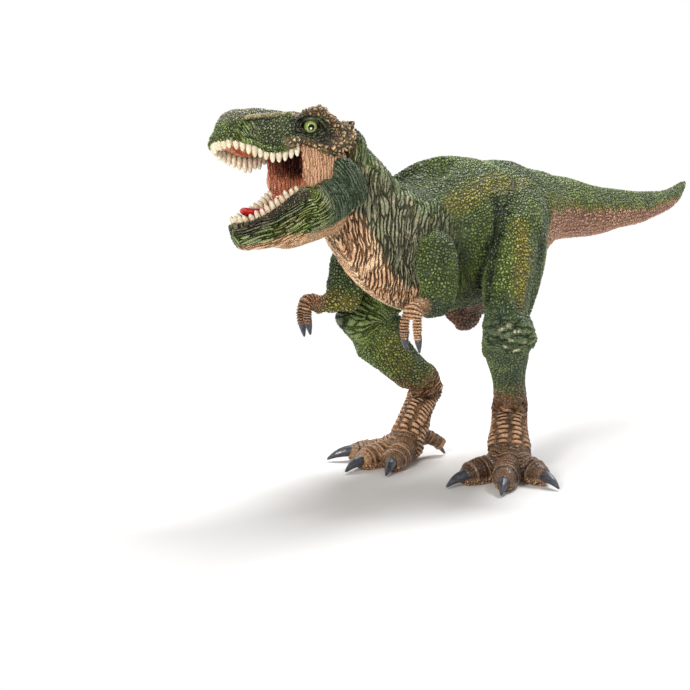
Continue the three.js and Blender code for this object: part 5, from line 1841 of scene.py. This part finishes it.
@dataclass(frozen=True)
class Eyes:
    """The pair of glass-like eyes."""

    radius: float = 2.6
    gaze: tuple[float, float, float] = (0.9, -0.3, -0.3)
    # where the white dot of painted highlight sits on the pupil
    glint: tuple[float, float, float] = (0.9, -0.36, -0.45)
    pupil: float = 0.44
    iris: float = 1.05
    opening: tuple[float, float] = (1.3, 0.95)
    lid_height: float = 0.5
    segments: int = 64
    steps: int = 26
    back_steps: int = 8
    reach: float = 1.95

    def material(self) -> Material:
        """Builds the eye's paint, which reads the angle from the middle of the pupil; a white dot round the
        glint is a painted highlight.
        """
        material = bpy.data.materials.new("eye_gloss")
        graph = Graph.of(material)
        angle, glint = graph.named("Gaze"), graph.named("Glint")
        fleck = graph.remap(graph.noise(graph.place(), 2500, 3), 0.35, 0.65)
        colour = graph.mix(fleck, linear((104, 128, 40)), linear((172, 184, 96)))
        for factor, rgb in (
            (graph.remap(angle, self.pupil + 0.28, self.pupil + 0.04, 0, 0.6), (192, 200, 148)),
            (graph.remap(angle, self.iris - 0.35, self.iris), (66, 98, 30)),
            (graph.remap(angle, self.iris - 0.04, self.iris + 0.08), (14, 18, 10)),
            (graph.remap(angle, self.pupil + 0.03, self.pupil - 0.03), (6, 6, 6)),
            # a white dot on the pupil: a painted highlight
            (graph.remap(glint, 0.19, 0.1), (250, 250, 244)),
        ):
            colour = graph.mix(factor, colour, linear(rgb))
        graph.end_material({"Base Color": colour, "Roughness": 0.1, "Specular IOR Level": 0.18})
        return material

    def lids(self, middle: Array, side: int, material: Material) -> None:
        """Makes the folded lids round an almond opening, as one closed ring over the ball.

        Args:
            middle: The ball's middle, in mm.
            side: 1 on the figure's left and -1 on its right.
            material: The hide's paint.
        """
        out = np.array(self.gaze) * (side, 1, 1) @ HEAD_AXES
        out /= np.linalg.norm(out)
        rear = HEAD_AXES[1] - out * (HEAD_AXES[1] @ out)
        rear /= np.linalg.norm(rear)
        above = np.cross(out, rear) * side
        turn = np.linspace(0, 2 * math.pi, 2 * self.segments, endpoint=False)
        tilt = turn + 0.12
        wide, tall = self.opening
        start = 1 / np.sqrt((np.cos(tilt) / wide) ** 2 + (np.sin(tilt) / tall) ** 2)
        start += 0.22 * np.abs(np.cos(tilt)) ** 8
        corner = np.zeros(len(turn))
        for place, width, length in ((-0.6, 0.6, 0.8), (math.pi + 0.15, 0.5, 0.4)):
            away = (turn - place + math.pi) % (2 * math.pi) - math.pi
            corner += length * np.exp(-((away / width) ** 2))
        rings, tones = [], []
        outwards, back = np.linspace(0, 1, self.steps), np.linspace(1, 0, self.back_steps)
        for number, share in enumerate((*outwards, *back)):
            polar = start + (self.reach - start) * share
            fold = 0.5 + 0.5 * math.cos(share * 6 * math.pi) * (1 - 0.5 * share)
            rise = self.lid_height * (0.55 + 0.45 * fold) * min(1, share * 12 + 0.2) * (1 - 0.5 * share)
            height = 0.12 + rise if number < self.steps else 0.05
            tones.append(np.full(len(turn), 0.0 if share < 0.06 else fold))
            level = np.cos(turn)[:, None] * rear + np.sin(turn)[:, None] * above
            ring = np.cos(polar)[:, None] * out + (np.sin(polar) * (1 + corner * share))[:, None] * level
            rings.append(middle + (self.radius + height) * ring)
        points, tones = np.vstack(rings), np.concatenate(tones)
        here = np.arange(len(points)).reshape(len(rings), -1)
        after = np.roll(here, -1, 0)
        corners = (here, np.roll(here, -1, 1), np.roll(after, -1, 1), after)
        faces = columns(*(corner.ravel() for corner in corners[:: -side]))
        mesh = mesh_of(points, "eyelid", faces)
        coat = Coat(points)
        coat.values["WashAndShade"] *= 0
        coat.spray(Paint.PINE, np.ones(len(points)), 0.85)
        # The lids get no wash: near-black in the fold troughs and at the inner rim is partly paint, partly
        # painted shade, and grey blotches on the fold crests are partly paint, partly painted highlight
        coat.spray(Paint.THROAT, ramp(0.45, 0.15, tones), 0.9)
        coat.spray(Paint.MOSS_GREY, ramp(0.8, 1, tones) * blotches(points, 2.5, 81, -0.6, 0.4), 0.6)
        lay_coat(mesh, coat, np.arange(len(points)), 0)
        mesh.materials.append(material)
        add_object(mesh, ("left" if side > 0 else "right") + "_eyelid", Body.FIGURE, (), "skin")

    def ball(self, middle: Array, side: int, name: str) -> Mesh:
        """Makes a ball whose pole looks along the gaze.

        Args:
            middle: Its middle, in mm.
            side: 1 on the figure's left and -1 on its right.
            name: The mesh's name.

        Returns:
            The mesh, which holds each point's angle from the gaze and its distance from the glint.
        """
        rays = np.array((self.gaze, self.glint)) * (side, 1, 1) @ HEAD_AXES
        way, glint = (Vector(ray) for ray in rays.tolist())
        ball = bmesh.new()
        bmesh.ops.create_uvsphere(
            ball, u_segments=self.segments, v_segments=self.segments, radius=self.radius * MM
        )
        turn = Vector((0, 0, 1)).rotation_difference(way).to_matrix()
        glint = turn.inverted() @ glint.normalized()
        gaze_layer = ball.verts.layers.float.new("Gaze")
        glint_layer = ball.verts.layers.float.new("Glint")
        for vertex in ball.verts:
            vertex[glint_layer] = (vertex.co.normalized() - glint).length
            vertex[gaze_layer] = math.acos(max(-1, min(1, vertex.co.z / (self.radius * MM))))
        ball.transform(Matrix.Translation(((middle - SHIFT) * MM).tolist()) @ turn.to_4x4())
        mesh = bpy.data.meshes.new(name)
        ball.to_mesh(mesh)
        ball.free()
        mesh.shade_smooth()
        return mesh

    def build(self, lid_paint: Material) -> None:
        """Makes both eyes."""
        material = self.material()
        for name, side in SIDES.items():
            node = "eye_" + name
            places = own_points(frame["nodes"][node].data)
            middle = (places.min(0) + places.max(0)) / 2
            mesh = self.ball(middle, side, node)
            mesh.materials.append(material)
            add_object(mesh, node + "_ball", Body.FIGURE, (node,), "eye")
            self.lids(middle, side, lid_paint)


@dataclass(frozen=True)
class Stage:
    """The pale floor, the soft studio light and the camera."""

    camera_at: tuple[float, float, float] = (594.42, -798.81, 216.55)
    target: tuple[float, float, float] = (-38.6, -44.4, 42.9)
    up: tuple[float, float, float] = (-0.1116, 0.1330, 0.9848)
    lens: float = 143.34
    sky: float = 0.24
    floor_lift: float = 0.03
    floor_size: float = 6.0
    floor_gap: float = 0.0004

    def floor(self) -> None:
        """Lays the floor: white far away, shaded by the figure near it."""
        material = bpy.data.materials.new("floor_white")
        graph = Graph.of(material)
        away = graph.node("ShaderNodeVectorMath", {0: graph.place()}, operation="LENGTH").outputs["Value"]
        seen = graph.seen()
        far = graph.times(graph.remap(away, 0.14, 0.32), seen)
        lift = graph.times(seen, self.floor_lift)
        paper = graph.node("ShaderNodeBsdfDiffuse", {"Color": (0.92, 0.92, 0.92, 1)}).outputs[0]
        white = graph.node("ShaderNodeEmission", {"Color": (1, 1, 1, 1), "Strength": 1.0}).outputs[0]
        glow = graph.node("ShaderNodeEmission", {"Color": (1, 1, 1, 1), "Strength": lift}).outputs[0]
        near = graph.node("ShaderNodeAddShader", {0: paper, 1: glow}).outputs[0]
        mixed = graph.node("ShaderNodeMixShader", {0: far, 1: near, 2: white}).outputs[0]
        graph.node("ShaderNodeOutputMaterial", {"Surface": mixed})
        mesh = bpy.data.meshes.new("floor")
        r, z = self.floor_size / 2, -self.floor_gap
        mesh.from_pydata([(-r, -r, z), (r, -r, z), (r, r, z), (-r, r, z)], [], [(0, 1, 2, 3)])
        mesh.materials.append(material)
        obj = bpy.data.objects.new("floor", mesh)
        bpy.context.scene.collection.objects.link(obj)

    def lamp(
        self,
        name: str,
        place: Sequence[float],
        size: float,
        power: float,
        colour: Sequence[float] = (1, 1, 1),
    ) -> None:
        """Hangs a soft box that faces the figure."""
        data = bpy.data.lights.new(name, "AREA")
        data.shape, data.size, data.energy, data.color = "DISK", size, power, colour
        obj = bpy.data.objects.new(name, data)
        bpy.context.scene.collection.objects.link(obj)
        obj.location = place
        aim = Vector((0, -0.03, 0.07)) - obj.location
        obj.rotation_mode = "QUATERNION"
        obj.rotation_quaternion = aim.to_track_quat("-Z", "Y")

    def build(self) -> None:
        """Sets up floor, light and camera."""
        self.floor()
        self.lamp("key_softbox", (-0.12, 0.5, 1.15), 0.75, 16.5)
        self.lamp("front_softbox", (0.35, -1.15, 0.5), 0.24, 8.5, (1, 0.96, 0.91))
        self.lamp("left_softbox", (-1.0, -0.5, 0.7), 0.5, 1.2)
        scene = bpy.context.scene
        world = bpy.data.worlds.new("studio")
        scene.world = world
        graph = Graph.of(world)
        strength = graph.math("ADD", graph.times(graph.seen(), 1 - self.sky), self.sky)
        sky = graph.node("ShaderNodeBackground", {"Color": (1, 1, 1, 1), "Strength": strength})
        graph.node("ShaderNodeOutputWorld", {"Surface": sky.outputs[0]})
        data = bpy.data.cameras.new("camera")
        data.lens, data.sensor_width = self.lens, 36
        data.clip_start, data.clip_end = 0.05, 20
        camera = bpy.data.objects.new("camera", data)
        scene.collection.objects.link(camera)
        place, target = Vector(self.camera_at), Vector(self.target)
        back = (place - target).normalized()
        right = Vector(self.up).cross(back).normalized()
        above = back.cross(right)
        turn = Matrix((right, above, back)).transposed().to_4x4()
        camera.matrix_world = Matrix.Translation(((np.array(self.camera_at) - SHIFT) * MM).tolist()) @ turn
        scene.camera = camera
        scene.view_settings.view_transform = "Standard"


def main() -> None:
    """Dresses the figure piece by piece."""
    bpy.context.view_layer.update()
    relief = HideRelief()
    tree = relief.tree()
    hide = HandPaint("painted_hide").build(relief)
    flesh = HandPaint("painted_flesh", crest_light=0.3, roughness=0.4).build(relief)
    FigureHide().build(tree, hide)
    for side in ARM_LINES:
        Hand(side=side).build(tree, hide)
    JawHide().build(tree, hide)
    MouthLining().build(tree, flesh)
    ivory = Gloss("ivory_gloss", (238, 230, 206), (214, 196, 158), 0.28).build()
    upper = ToothRow("upper_tooth_row", Body.FIGURE, UPPER_ROW, 28, -1, from_head, far_drop=1.2)
    upper.build(ivory, "upper_teeth")
    lower = ToothRow("lower_tooth_row", Body.JAW, LOWER_ROW, 25, 1, from_jaw, 2.3, 0.92, seed=8)
    lower.build(ivory, "lower_teeth")
    red = Gloss("tongue_gloss", (206, 44, 36), (168, 26, 26), 0.22).build()
    lift = tuple(from_jaw([(0, 0.6, 0.9)])[0] - HINGE)
    SmoothPart("tongue", Body.JAW, "tongue", 0.4, 8, shift=lift).build(red)
    horn = Gloss("horn_gloss", (74, 76, 84), (46, 47, 54), 0.26, streaks=(700, 700, 1500)).build()
    claw = partial(SmoothPart, body=Body.FIGURE, slot="horn", puff=0.1)
    for side in SIDES:
        for toe in TOES:
            claw(f"{side}_{toe}_toe_claw", slimness=0.84).build(horn)
        for finger in (1, 2):
            node = f"{side}_finger_claw_{finger}"
            claw(node, shift=CLAW_SHIFTS[node]).build(horn)
    Eyes().build(hide)
    pin = frame["nodes"]["jaw_pin"].data
    pin.materials.clear()
    steel = Gloss("pin_steel", (176, 178, 182), (150, 152, 156), 0.3, 1.0, (60, 60, 3000))
    pin.materials.append(steel.build())
    Stage().build()


if __name__ == "__main__":
    main()
